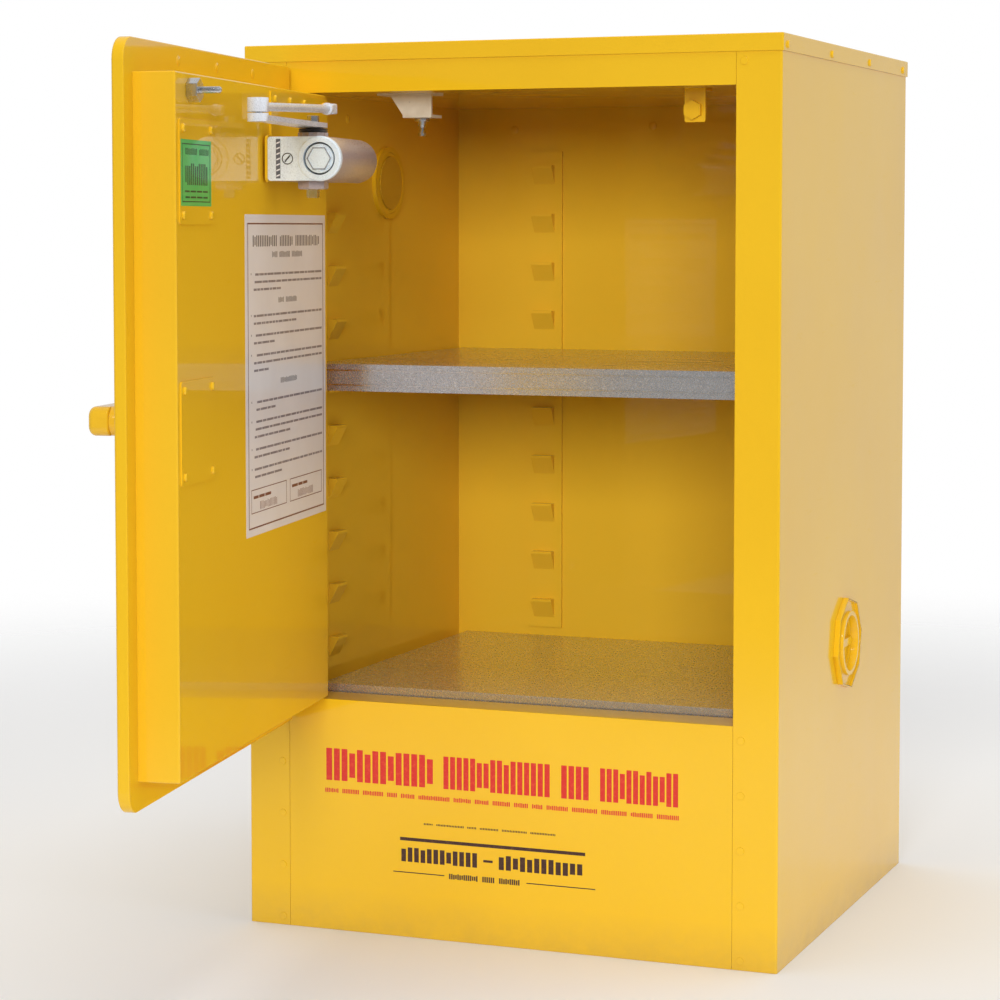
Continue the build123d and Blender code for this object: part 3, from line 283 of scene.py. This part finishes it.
def painted_gauze(name):
    """Fine woven mesh under the same enamel: two crossed sets of wires with dull gaps between."""
    paint = Finish(name, {"Coat Weight": 0.5, "Coat Roughness": 0.2})
    weft = paint.node("ShaderNodeTexWave", {"Vector": paint.place, "Scale": 300.0}, bands_direction="Y")
    warp = paint.node("ShaderNodeTexWave", {"Vector": paint.place, "Scale": 300.0}, bands_direction="Z")
    wires = paint.maths("MAXIMUM", weft.outputs["Fac"], warp.outputs["Fac"])
    tone = paint.ramp(wires, [(0.30, (0.42, 0.22, 0.01)), (0.62, (0.80, 0.46, 0.02))])
    tone = paint.mix(paint.span(paint.noise(70.0), 0.0, 0.25), tone, (0.60, 0.36, 0.03))
    relief = paint.bump(wires, 0.0002)
    return paint.finish(Base_Color=tone, Roughness=paint.span(wires, 0.6, 0.35), Normal=relief)


def vinyl(name, colour, shade, gloss=0.3, ripple=0.0004):
    """A printed self-adhesive sheet, with slight yellowing, trapped air and a satin face."""
    sheet = Finish(name, {"Coat Weight": 0.55, "Coat Roughness": 0.08})
    tone = sheet.ramp(sheet.noise(16.0, 4.0), [(0.3, shade), (0.65, colour)])
    tone = sheet.mix(sheet.span(sheet.noise(700.0), 0.0, 0.06), tone, shade)
    lift = sheet.bump(sheet.noise(30.0, 2.0), ripple)
    lift = sheet.bump(sheet.noise(900.0, 1.0), 0.00003, under=lift)
    rough = sheet.span(sheet.noise(40.0), gloss, gloss + 0.12)
    return sheet.finish(Base_Color=tone, Roughness=rough, Normal=lift)


def ink(name, colour, worn):
    """Screen-printed ink with thin patches."""
    film = Finish(name, {"Coat Weight": 0.3, "Coat Roughness": 0.12})
    tone = film.ramp(film.noise(240.0, 4.0, 0.7), [(0.34, worn), (0.5, colour)])
    relief = film.bump(film.noise(900.0, 2.0), 0.00002)
    return film.finish(Base_Color=tone, Roughness=film.span(film.noise(60.0), 0.32, 0.48), Normal=relief)


shell_paint = enamel("shell_enamel", wave=0.0002, grime_height=0.04)
# The chamber's paint, with painted light and painted reflection in its brighter, paler tone
inner_paint = enamel("chamber_enamel_painted_light", colour=CHAMBER_LIT, deep=CHAMBER_LIT_DEEP, wave=0.00006, gloss=0.025)
door_paint = enamel("door_lining_enamel", colour=LINING, deep=LINING_DEEP, wave=0.00003, gloss=0.008)
fitting_paint = enamel("fitting_enamel", wave=0.0001, gloss=0.08)
handle_paint = enamel("handle_enamel_gloss", colour=(0.88, 0.52, 0.03), wave=0.00012, gloss=0.05)
# A paler zinc for the shelf's ribs: painted highlight along the bends
rib_highlight_zinc = bright_zinc("zinc_rib_painted_highlight", (0.92, 0.92, 0.93), (0.80, 0.80, 0.81))
# A dark tone for the rim round the plug's hexagon: painted shade along its edges
cast_shadow = silver_enamel("hex_outline_painted_shade", (0.26, 0.27, 0.30), (0.20, 0.21, 0.23))
zinc_sheet = galvanised("zinc_crystal_sheet")
plated = bright_zinc("bright_plating")
closer_silver = silver_enamel("closer_silver_enamel")
# The closer's body, with painted shade and painted reflection on its cylinder
closer_shaded_casting = silver_enamel("closer_enamel_painted_shade", cylinder_shade=CLOSER_CYLINDER_PAINTED_SHADE)
arm_silver = silver_enamel("arm_silver_enamel", (0.82, 0.84, 0.90), (0.70, 0.72, 0.77), 0.25, 0.00005)
bracket_cream = cream_enamel("bracket_cream_enamel")
gauze_paint = painted_gauze("flame_gauze")
white_vinyl = vinyl("white_vinyl", (0.84, 0.83, 0.86), (0.79, 0.77, 0.79))
green_vinyl = vinyl("green_vinyl", (0.07, 0.56, 0.12), (0.05, 0.49, 0.10))
dark_vinyl = vinyl("dark_vinyl", (0.16, 0.17, 0.20), (0.09, 0.10, 0.12))
black_ink = ink("black_ink", (0.035, 0.03, 0.045), (0.10, 0.09, 0.11))
grey_ink = ink("grey_ink", (0.20, 0.18, 0.22), (0.36, 0.33, 0.38))
maroon_ink = ink("maroon_ink", (0.13, 0.02, 0.03), (0.20, 0.06, 0.07))
green_ink = ink("dark_green_ink", (0.012, 0.06, 0.02), (0.02, 0.12, 0.035))
# Black rubber for the O-ring and the gland seal, also used as painted shade in the speed screw's countersink
# and slot
rubber_and_shade_black = vinyl("black_rubber_and_painted_shade", (0.018, 0.017, 0.018), (0.035, 0.033, 0.032), gloss=0.45)
red_ink = ink("red_ink", (0.66, 0.022, 0.012), (0.72, 0.06, 0.015))
brown_ink = ink("brown_ink", (0.045, 0.012, 0.006), (0.09, 0.035, 0.012))


# ---------------------------------------------------------------- CAD parts: finish and edge rounding

def dress(material, names, edge=0.0, segments=2):
    """Gives CAD parts their finish. The compact ones also get their sharp edges rounded a little."""
    for name in names:
        part = NODES[name]
        for slot in part.material_slots:
            slot.material = material
        if edge:
            weld = part.modifiers.new("weld", "WELD")
            weld.merge_threshold = 0.00001
            bevel = part.modifiers.new("bevel", "BEVEL")
            bevel.width = edge
            bevel.segments = segments
            bevel.limit_method = "ANGLE"
            bevel.angle_limit = math.radians(35)
            bevel.harden_normals = True


STRIPS = ["left_shelf_strip", "right_shelf_strip", "back_left_shelf_strip", "back_right_shelf_strip"]
WALLS = ["inner_left_wall", "inner_right_wall", "inner_back_wall", "inner_ceiling", "spill_sump"]
dress(shell_paint, ["left_side_panel", "right_side_panel", "outer_back_panel", "outer_base_panel"])
dress(shell_paint, ["top_cap", "upper_front_rail", "lower_front_panel", "door_outer_pan", "shell_rivets"])
dress(inner_paint, WALLS + STRIPS)
dress(fitting_paint, ["left_vent_socket", "right_vent_socket", "left_vent_plug", "right_vent_plug"], 0.0006)
dress(fitting_paint, ["left_vent_ring", "right_vent_ring"])
dress(gauze_paint, ["left_vent_gauze", "right_vent_gauze"])
dress(fitting_paint, ["hinge_frame_leaf", "hinge_door_leaf"])
dress(fitting_paint, ["hinge_frame_rivets", "hinge_door_rivets", "door_screws"])
dress(plated, ["hinge_pin"])
dress(door_paint, ["door_inner_box", "upper_cover_plate", "lower_cover_plate"])
dress(fitting_paint, ["closer_base_plate", "closer_mount_block", "strike_bracket"])
dress(fitting_paint, ["strike_bolt"], 0.0006)
dress(closer_shaded_casting, ["closer_body"], 0.0008, 3)
dress(closer_silver, ["closer_end_plug"], 0.0004)
dress(plated, ["closer_pinion", "arm_screw"], 0.0003)
dress(closer_silver, ["closer_speed_screw"], 0.0002)
dress(plated, ["elbow_pin", "catch_pin", "catch_nut", "latch_spindle", "latch_crank", "spindle_bush"], 0.0004)
dress(plated, ["latch_rod"])
dress(arm_silver, ["main_arm", "forearm", "forearm_socket"], 0.0005)
dress(bracket_cream, ["closer_bracket"])
dress(plated, ["soffit_stud"], 0.0003)
dress(handle_paint, ["handle_grip", "handle_rose"], 0.0004)
dress(zinc_sheet, ["shelf", "base_tray"])


# ---------------------------------------------------------------- printed sheets and bars

def on_front(a, b, lift):
    """A point on the cabinet's front: a across from the middle, b up from the floor."""
    return Vector((a, FRONT_Y - lift, b))


def on_door(a, b, lift):
    """A point on the inner face of the door: a across from the hinge, b up from the floor."""
    foot = HINGE + ACROSS * a + DEPTH * (DOOR_FACE + lift)
    return Vector((foot.x, foot.y, b))


def on_closer_end(a, b, lift):
    """A point on the closer's end: a along DEPTH from the hinge, b up from the floor."""
    foot = HINGE + ACROSS * (CLOSER_END + lift) + DEPTH * a
    return Vector((foot.x, foot.y, b))


def on_shelf_lip(a, b, lift):
    """A point on the shelf's front lip: a across from the middle, b up from the floor."""
    return Vector((a, SHELF_LIP_Y - lift, b))


def rectangle(a0, b0, a1, b1):
    return [(a0, b0), (a1, b0), (a1, b1), (a0, b1)]


def rounded_rectangle(a0, b0, a1, b1, radius, steps=5):
    points = []
    corners = [(a1 - radius, b0 + radius, -90), (a1 - radius, b1 - radius, 0)]
    corners += [(a0 + radius, b1 - radius, 90), (a0 + radius, b0 + radius, 180)]
    for centre_a, centre_b, start in corners:
        for step in range(steps + 1):
            angle = math.radians(start + 90 * step / steps)
            points.append((centre_a + radius * math.cos(angle), centre_b + radius * math.sin(angle)))
    return points


def frame_outline(a0, b0, a1, b1, width):
    """Four bars round a rectangle."""
    return [
        rectangle(a0, b0, a1, b0 + width),
        rectangle(a0, b1 - width, a1, b1),
        rectangle(a0, b0 + width, a0 + width, b1 - width),
        rectangle(a1 - width, b0 + width, a1, b1 - width),
    ]


def add_piece(name, shape, material, body):
    """Makes an object of a finished shape, which moves with one of the bodies."""
    bmesh.ops.recalc_face_normals(shape, faces=shape.faces)
    mesh = bpy.data.meshes.new(name)
    shape.to_mesh(mesh)
    shape.free()
    piece = bpy.data.objects.new(name, mesh)
    bpy.context.scene.collection.objects.link(piece)
    mesh.materials.append(material)
    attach(piece, body)
    return piece


def printed(name, outlines, place, material, body, low, high):
    """Thin closed slabs with the given outlines, standing between two heights over a surface."""
    shape = bmesh.new()
    for outline in outlines:
        bottom = [shape.verts.new(place(a, b, low)) for a, b in outline]
        top = [shape.verts.new(place(a, b, high)) for a, b in outline]
        shape.faces.new(top)
        shape.faces.new(bottom[::-1])
        for index in range(len(outline)):
            after = (index + 1) % len(outline)
            shape.faces.new([bottom[index], bottom[after], top[after], top[index]])
    return add_piece(name, shape, material, body)


def turned(name, spots, profile, material, body, steps=40):
    """A closed profile of radius and height, turned about an axis at each spot."""
    shape = bmesh.new()
    for centre, axis in spots:
        turn = Vector(axis).to_track_quat("Z", "Y")
        rings = []
        for radius, height in profile:
            count = steps if radius else 1
            ring = []
            for step in range(count):
                angle = math.tau * step / count
                offset = Vector((radius * math.cos(angle), radius * math.sin(angle), height))
                ring.append(shape.verts.new(Vector(centre) + turn @ offset))
            rings.append(ring)
        for ring, after in zip(rings, rings[1:] + rings[:1]):
            for step in range(steps):
                here = [ring[step % len(ring)], ring[(step + 1) % len(ring)]]
                there = [after[(step + 1) % len(after)], after[step % len(after)]]
                corners = list(dict.fromkeys(here + there))
                if len(corners) > 2:
                    shape.faces.new(corners)
    for face in shape.faces:
        face.smooth = True
    piece = add_piece(name, shape, material, body)
    piece.data.set_sharp_from_angle(angle=math.radians(38))
    return piece


def word_bars(draw, a0, a1, base, height, shortest, longest, gap):
    """Bars of uneven length, as far apart as words, that fill a line from a0 to a1."""
    bars = []
    at = a0
    while at < a1 - shortest:
        length = min(draw.uniform(shortest, longest), a1 - at)
        bars.append(rectangle(at, base, at + length, base + height))
        at += length + gap
    return bars


def stroke_bars(draw, a0, a1, base, height, count, weight):
    """A plain picket of upright strokes, two to a place, that stands in for a word."""
    bars = []
    pitch = (a1 - a0) / count
    for index in range(count):
        left = a0 + index * pitch
        wide = pitch * weight
        for shift in (0.06, 0.56):
            cut = draw.choice([0.0, 0.0, 0.0, 0.12])
            low = base + height * cut * draw.choice([0, 1])
            start = left + pitch * shift
            bars.append(rectangle(start, low, start + wide, base + height * (1 - cut)))
    return bars


def text_bars(draw, a0, a1, base, height, pitch, weight):
    """Words of 3 to 9 stroke pairs, set along a line."""
    bars = []
    at = a0
    while at < a1 - 3 * pitch:
        count = min(draw.randint(3, 9), int((a1 - at) / pitch))
        bars += stroke_bars(draw, at, at + count * pitch, base, height, count, weight)
        at += (count + 1) * pitch
    return bars


draw = random.Random(11)
FILM = 0.00012
INK = 0.00018

# The instruction sheet on the door
SHEET_LEFT, SHEET_RIGHT, SHEET_LOW, SHEET_HIGH = 0.009, 0.2435, 0.383, 0.6475
sheet_outline = rounded_rectangle(SHEET_LEFT, SHEET_LOW, SHEET_RIGHT, SHEET_HIGH, 0.0012)
printed("instruction_sheet", [sheet_outline], on_door, white_vinyl, "door", 0.00001, FILM)

SHEET_HEIGHT = SHEET_HIGH - SHEET_LOW
TEXT_LEFT = SHEET_LEFT + 0.012
TEXT_RIGHT = SHEET_RIGHT - 0.026
border = frame_outline(SHEET_LEFT + 0.007, SHEET_LOW + 0.006, SHEET_RIGHT - 0.007, SHEET_HIGH - 0.007, 0.0012)
printed("instruction_border", border, on_door, maroon_ink, "door", FILM, INK)


def sheet_row(share):
    """Height on the sheet of a row a given share of the way down."""
    return SHEET_HIGH - SHEET_HEIGHT * share


rows = []
middle = (SHEET_LEFT + SHEET_RIGHT) / 2
for left, right, count in ((-0.098, -0.024, 8), (-0.017, 0.022, 4), (0.029, 0.098, 7)):
    rows += stroke_bars(draw, middle + left, middle + right, sheet_row(0.100), 0.0092, count, 0.24)
rows += text_bars(draw, middle - 0.045, middle + 0.045, sheet_row(0.135), 0.0050, 0.0052, 0.22)
body_rows = []
BLOCKS = [(0.188, 3), (0.317, 2), (0.378, 2), (0.440, 3), (0.586, 2), (0.647, 3), (0.733, 2), (0.795, 2)]
for start, count in BLOCKS:
    dot = TEXT_RIGHT + 0.009
    body_rows.append(rectangle(dot, sheet_row(start), dot + 0.0016, sheet_row(start) + 0.0016))
    for line in range(count):
        reach = TEXT_LEFT if line < count - 1 else draw.uniform(middle - 0.03, TEXT_RIGHT - 0.02)
        base = sheet_row(start + 0.0235 * line) - 0.0006
        body_rows += word_bars(draw, reach, TEXT_RIGHT + 0.003, base, 0.0019, 0.006, 0.021, 0.0017)
for share in (0.272, 0.530):
    rows += text_bars(draw, middle - 0.028, middle + 0.028, sheet_row(share) - 0.002, 0.0046, 0.0054, 0.22)
printed("instruction_headings", rows, on_door, black_ink, "door", FILM, INK)
printed("instruction_rows", body_rows, on_door, grey_ink, "door", FILM, INK)

boxes = []
for left, right in ((SHEET_LEFT + 0.014, middle - 0.006), (middle + 0.004, SHEET_RIGHT - 0.014)):
    boxes += frame_outline(left, sheet_row(0.93), right, sheet_row(0.855), 0.0007)
    boxes += word_bars(draw, left + 0.045, right - 0.006, sheet_row(0.885), 0.0024, 0.010, 0.018, 0.002)
    boxes += stroke_bars(draw, left + 0.028, right - 0.022, sheet_row(0.922), 0.0066, 7, 0.16)
printed("instruction_boxes", boxes, on_door, maroon_ink, "door", FILM, INK)

# The green inspection sticker on the upper cover plate
PLATE = 0.0012
sticker = rounded_rectangle(0.332, 0.653, 0.404, 0.7035, 0.001)
printed("inspection_sticker", [sticker], on_door, green_vinyl, "door", PLATE, PLATE + FILM)
marks = frame_outline(0.335, 0.656, 0.401, 0.7005, 0.0008)
marks += text_bars(draw, 0.338, 0.398, 0.692, 0.0050, 0.0040, 0.26)
marks += stroke_bars(draw, 0.341, 0.395, 0.669, 0.0165, 6, 0.30)
for row in (0.6635, 0.6590):
    marks += word_bars(draw, 0.341, 0.395, row, 0.0014, 0.008, 0.016, 0.0022)
printed("inspection_marks", marks, on_door, green_ink, "door", PLATE + FILM, PLATE + INK)

# Red and brown print on the front, as plain strokes and rules
WORDS = [(-0.1741, -0.0675, 7), (-0.0590, 0.0436, 8), (0.0528, 0.0800, 2), (0.0890, 0.1618, 6)]
strokes = []
for left, right, count in WORDS:
    strokes += stroke_bars(draw, left, right, 0.1370, 0.0293, count, 0.38)
strokes += text_bars(draw, -0.1745, 0.1630, 0.1258, 0.0040, 0.0034, 0.34)
printed("capacity_strokes", strokes, on_front, red_ink, "cabinet", 0.00001, 0.00006)

rules = [rectangle(-0.1005, 0.0875, 0.0761, 0.0905)]
rules += text_bars(draw, -0.0774, 0.0526, 0.1030, 0.0018, 0.0030, 0.30)
rules += [rectangle(-0.1071, 0.0583, -0.0575, 0.0592), rectangle(0.0211, 0.0583, 0.0855, 0.0592)]
rules += text_bars(draw, -0.0532, 0.0170, 0.0560, 0.0050, 0.0040, 0.36)
rules += stroke_bars(draw, -0.1000, -0.0250, 0.0685, 0.0130, 6, 0.36)
rules += stroke_bars(draw, -0.0060, 0.0745, 0.0685, 0.0130, 6, 0.36)
rules += [rectangle(-0.0200, 0.0740, -0.0110, 0.0762)]
printed("emblem_rules", rules, on_front, brown_ink, "cabinet", 0.00001, 0.00006)


# ---------------------------------------------------------------- small raised details

# Two raised ribs along the shelf's front lip, in a paler zinc that is a painted highlight along the hem's
# bends
HEM = 0.0050
RIB = 0.0011
INSET = 0.001
ribs = []
for base in (SHELF_LOW.z + HEM, SHELF_HIGH.z - HEM - RIB):
    ribs.append(rectangle(SHELF_LOW.x + INSET, base, SHELF_HIGH.x - INSET, base + RIB))
printed("shelf_lip_ribs", ribs, on_shelf_lip, rib_highlight_zinc, "shelf", -0.0002, 0.0005)

# The closer's end: a dark strip with pale ticks, an O-ring, and a thin dark hexagonal rim on the plug, which
# is painted shade along the hexagon's edges;
# on the speed screw, a dark ring that is painted shade in its countersunk hole, and a dark bar that is
# painted shade in its slot, where the photograph shows it
strip = [rectangle(0.0470, 0.6772, 0.0508, 0.7098)]
printed("closer_strip", strip, on_closer_end, dark_vinyl, "door", -0.00005, FILM)
ticks = []
for step in range(7):
    low = 0.6785 + 0.0045 * step
    ticks.append([(0.0474, low), (0.0504, low + 0.0012), (0.0504, low + 0.0024), (0.0474, low + 0.0012)])
printed("closer_strip_ticks", ticks, on_closer_end, white_vinyl, "door", FILM, INK)

O_RING = 0.0128
O_RING_WIRE = 0.0006
O_RING_BED = -0.0024
o_ring = []
for step in range(10):
    angle = math.tau * step / 10
    radius = O_RING + O_RING_WIRE * math.cos(angle)
    o_ring.append((radius, O_RING_BED + O_RING_WIRE * math.sin(angle)))
plug_centre = on_closer_end(PLUG_OUT, CLOSER_HEIGHT, 0.0)
turned("closer_o_ring", [(plug_centre, ACROSS)], o_ring, rubber_and_shade_black, "door", steps=64)

hex_face = on_closer_end(PLUG_OUT, CLOSER_HEIGHT, 0.0023)
rim_section = [
    (0.0105, -0.0002),
    (0.0105, 0.0004),
    (0.0102, 0.0006),
    (0.0098, 0.0006),
    (0.0095, 0.0004),
    (0.0095, -0.0002),
]
# Painted shade: a thin dark band round the foot of the plug's hexagon
rim = bmesh.new()
loops = []
for radius, lift in rim_section:
    loop = []
    for corner in range(6):
        angle = math.tau * corner / 6
        side = DEPTH * (radius * math.cos(angle)) + Vector((0, 0, radius * math.sin(angle)))
        loop.append(rim.verts.new(hex_face + side + ACROSS * lift))
    loops.append(loop)
for loop, after in zip(loops, loops[1:] + loops[:1]):
    for corner in range(6):
        following = (corner + 1) % 6
        rim.faces.new([loop[corner], loop[following], after[following], after[corner]])
add_piece("closer_plug_rim", rim, cast_shadow, "door")

screw_centre = on_closer_end(SCREW_OUT, CLOSER_HEIGHT, 0.0)
# Painted shade: a dark ring in the countersunk hole round the speed screw
countersink_shade_ring = [(0.0041, -0.0006), (0.0048, -0.0006), (0.0048, -0.0001), (0.0041, -0.0001)]
turned("speed_screw_countersink_shade", [(screw_centre, ACROSS)], countersink_shade_ring, rubber_and_shade_black, "door")

# Painted shade: a dark bar in the speed screw's slot
# Cosine and sine of the bar's tilt
SLOT_COS, SLOT_SIN = 0.64, 0.77
slot = []
for along, beside in rectangle(-0.0034, -0.0005, 0.0034, 0.0005):
    out = SCREW_OUT + SLOT_COS * along - SLOT_SIN * beside
    slot.append((out, CLOSER_HEIGHT + SLOT_SIN * along + SLOT_COS * beside))
printed("speed_screw_slot_shade", [slot], on_closer_end, rubber_and_shade_black, "door", -0.0003, 0.00012)

# The ribbed seal on the closer's shaft
gland = HINGE + ACROSS * 0.168 + DEPTH * 0.072
gland.z = 0.7156
seal = [(0.0104, 0.0), (0.0118, 0.0), (0.0122, 0.0008), (0.0118, 0.0017)]
seal += [(0.0122, 0.0025), (0.0118, 0.0032), (0.0104, 0.0032)]
turned("gland_seal", [(gland, (0, 0, 1))], seal, rubber_and_shade_black, "door")

# Spot-weld caps on the back and left walls, and flatter ones on the rim of the door's outer skin
dimple = [(0.0, 0.0011), (0.0022, 0.0010), (0.0038, 0.0006), (0.0046, -0.0003), (0.0, -0.0003)]
wall_spots = [
    ((-0.1491, BACK_WALL_Y, 0.7367), (0, -1, 0)),
    ((0.0004, BACK_WALL_Y, 0.7388), (0, -1, 0)),
    ((LEFT_WALL_X, -0.091, 0.739), (1, 0, 0)),
]
turned("back_wall_weld_caps", wall_spots, dimple, inner_paint, "cabinet")

lip_spots = []
for across in (0.1136, 0.2106, 0.3076):
    foot = HINGE + ACROSS * across + DEPTH * 0.0025
    lip_spots.append((Vector((foot.x, foot.y, 0.7678)), DEPTH))
shallow = [(radius, 0.7 * height) for radius, height in dimple]
turned("pan_weld_caps", lip_spots, shallow, door_paint, "door")


# ---------------------------------------------------------------- floor, light and camera

FLOOR_RADIUS = 2.6
ROOM = 0.24
SWEEP = 0.68
SUBJECT = (0, -0.2, 0.4)


def pale_floor():
    """A round pale floor that thins away at its rim."""
    mesh = bpy.data.meshes.new("floor")
    shape = bmesh.new()
    bmesh.ops.create_circle(shape, cap_ends=True, segments=96, radius=FLOOR_RADIUS)
    shape.to_mesh(mesh)
    shape.free()
    floor = bpy.data.objects.new("floor", mesh)
    floor.location = (0, 0, -0.0002)
    bpy.context.scene.collection.objects.link(floor)
    paper = Finish("pale_floor", {"Roughness": 0.9, "Base Color": (0.90, 0.90, 0.90, 1.0)})
    radius = paper.node("ShaderNodeVectorMath", {0: paper.place}, operation="LENGTH").outputs["Value"]
    thinning = {"From Min": 0.9, "From Max": 2.4, "To Min": 1.0, "To Max": 0.0}
    fade = paper.node("ShaderNodeMapRange", {"Value": radius, **thinning}, interpolation_type="SMOOTHSTEP")
    paper.put(paper.shader.inputs["Alpha"], fade.outputs["Result"])
    mesh.materials.append(paper.material)


def studio_world():
    """A white sweep behind the subject, and a dim room behind the viewer."""
    world = bpy.data.worlds.new("studio")
    bpy.context.scene.world = world
    world.use_nodes = True
    tree = world.node_tree
    background = tree.nodes["Background"]
    background.inputs["Color"].default_value = (1.0, 1.0, 1.0, 1.0)
    direction = tree.nodes.new("ShaderNodeTexCoord").outputs["Generated"]
    parts = tree.nodes.new("ShaderNodeSeparateXYZ")
    tree.links.new(direction, parts.inputs[0])
    sweep = tree.nodes.new("ShaderNodeMapRange")
    sweep.interpolation_type = "SMOOTHSTEP"
    for socket, value in (("From Min", -0.45), ("From Max", 0.35), ("To Min", ROOM), ("To Max", SWEEP)):
        sweep.inputs[socket].default_value = value
    tree.links.new(parts.outputs["Y"], sweep.inputs["Value"])
    seen = tree.nodes.new("ShaderNodeLightPath").outputs["Is Camera Ray"]
    plain = tree.nodes.new("ShaderNodeMath")
    plain.operation = "MAXIMUM"
    tree.links.new(sweep.outputs["Result"], plain.inputs[0])
    tree.links.new(seen, plain.inputs[1])
    tree.links.new(plain.outputs[0], background.inputs["Strength"])


def soft_box(name, place, aim, width, height, watts, shows=True):
    """A large lamp. One that doesn't show lights the subject without a reflection of itself."""
    light = bpy.data.lights.new(name, "AREA")
    light.shape = "RECTANGLE"
    light.size = width
    light.size_y = height
    light.energy = watts
    lamp = bpy.data.objects.new(name, light)
    lamp.location = place
    lamp.rotation_euler = (Vector(aim) - Vector(place)).to_track_quat("-Z", "Y").to_euler()
    lamp.visible_glossy = shows
    bpy.context.scene.collection.objects.link(lamp)


pale_floor()
studio_world()
soft_box("key", (2.4, -8.5, 2.3), SUBJECT, 3.6, 2.4, 432, shows=False)
soft_box("side_fill", (6.5, -1.0, 2.2), SUBJECT, 3.0, 2.5, 58, shows=False)
soft_box("overhead", (0.0, -0.6, 5.0), SUBJECT, 3.5, 3.5, 96, shows=False)
soft_box("glint", (1.2, -6.0, 5.0), SUBJECT, 1.4, 1.0, 26)

camera_data = bpy.data.cameras.new("camera")
camera_data.sensor_width = 36.0
camera_data.lens = FOCAL_PIXELS * camera_data.sensor_width / PHOTO_WIDTH
camera_data.shift_y = CAMERA_SHIFT_Y
camera = bpy.data.objects.new("camera", camera_data)
camera.location = CAMERA_PLACE
camera.rotation_euler = (math.pi / 2 - CAMERA_PITCH, 0, CAMERA_YAW)
bpy.context.scene.collection.objects.link(camera)
bpy.context.scene.camera = camera
bpy.context.scene.view_settings.view_transform = "Standard"
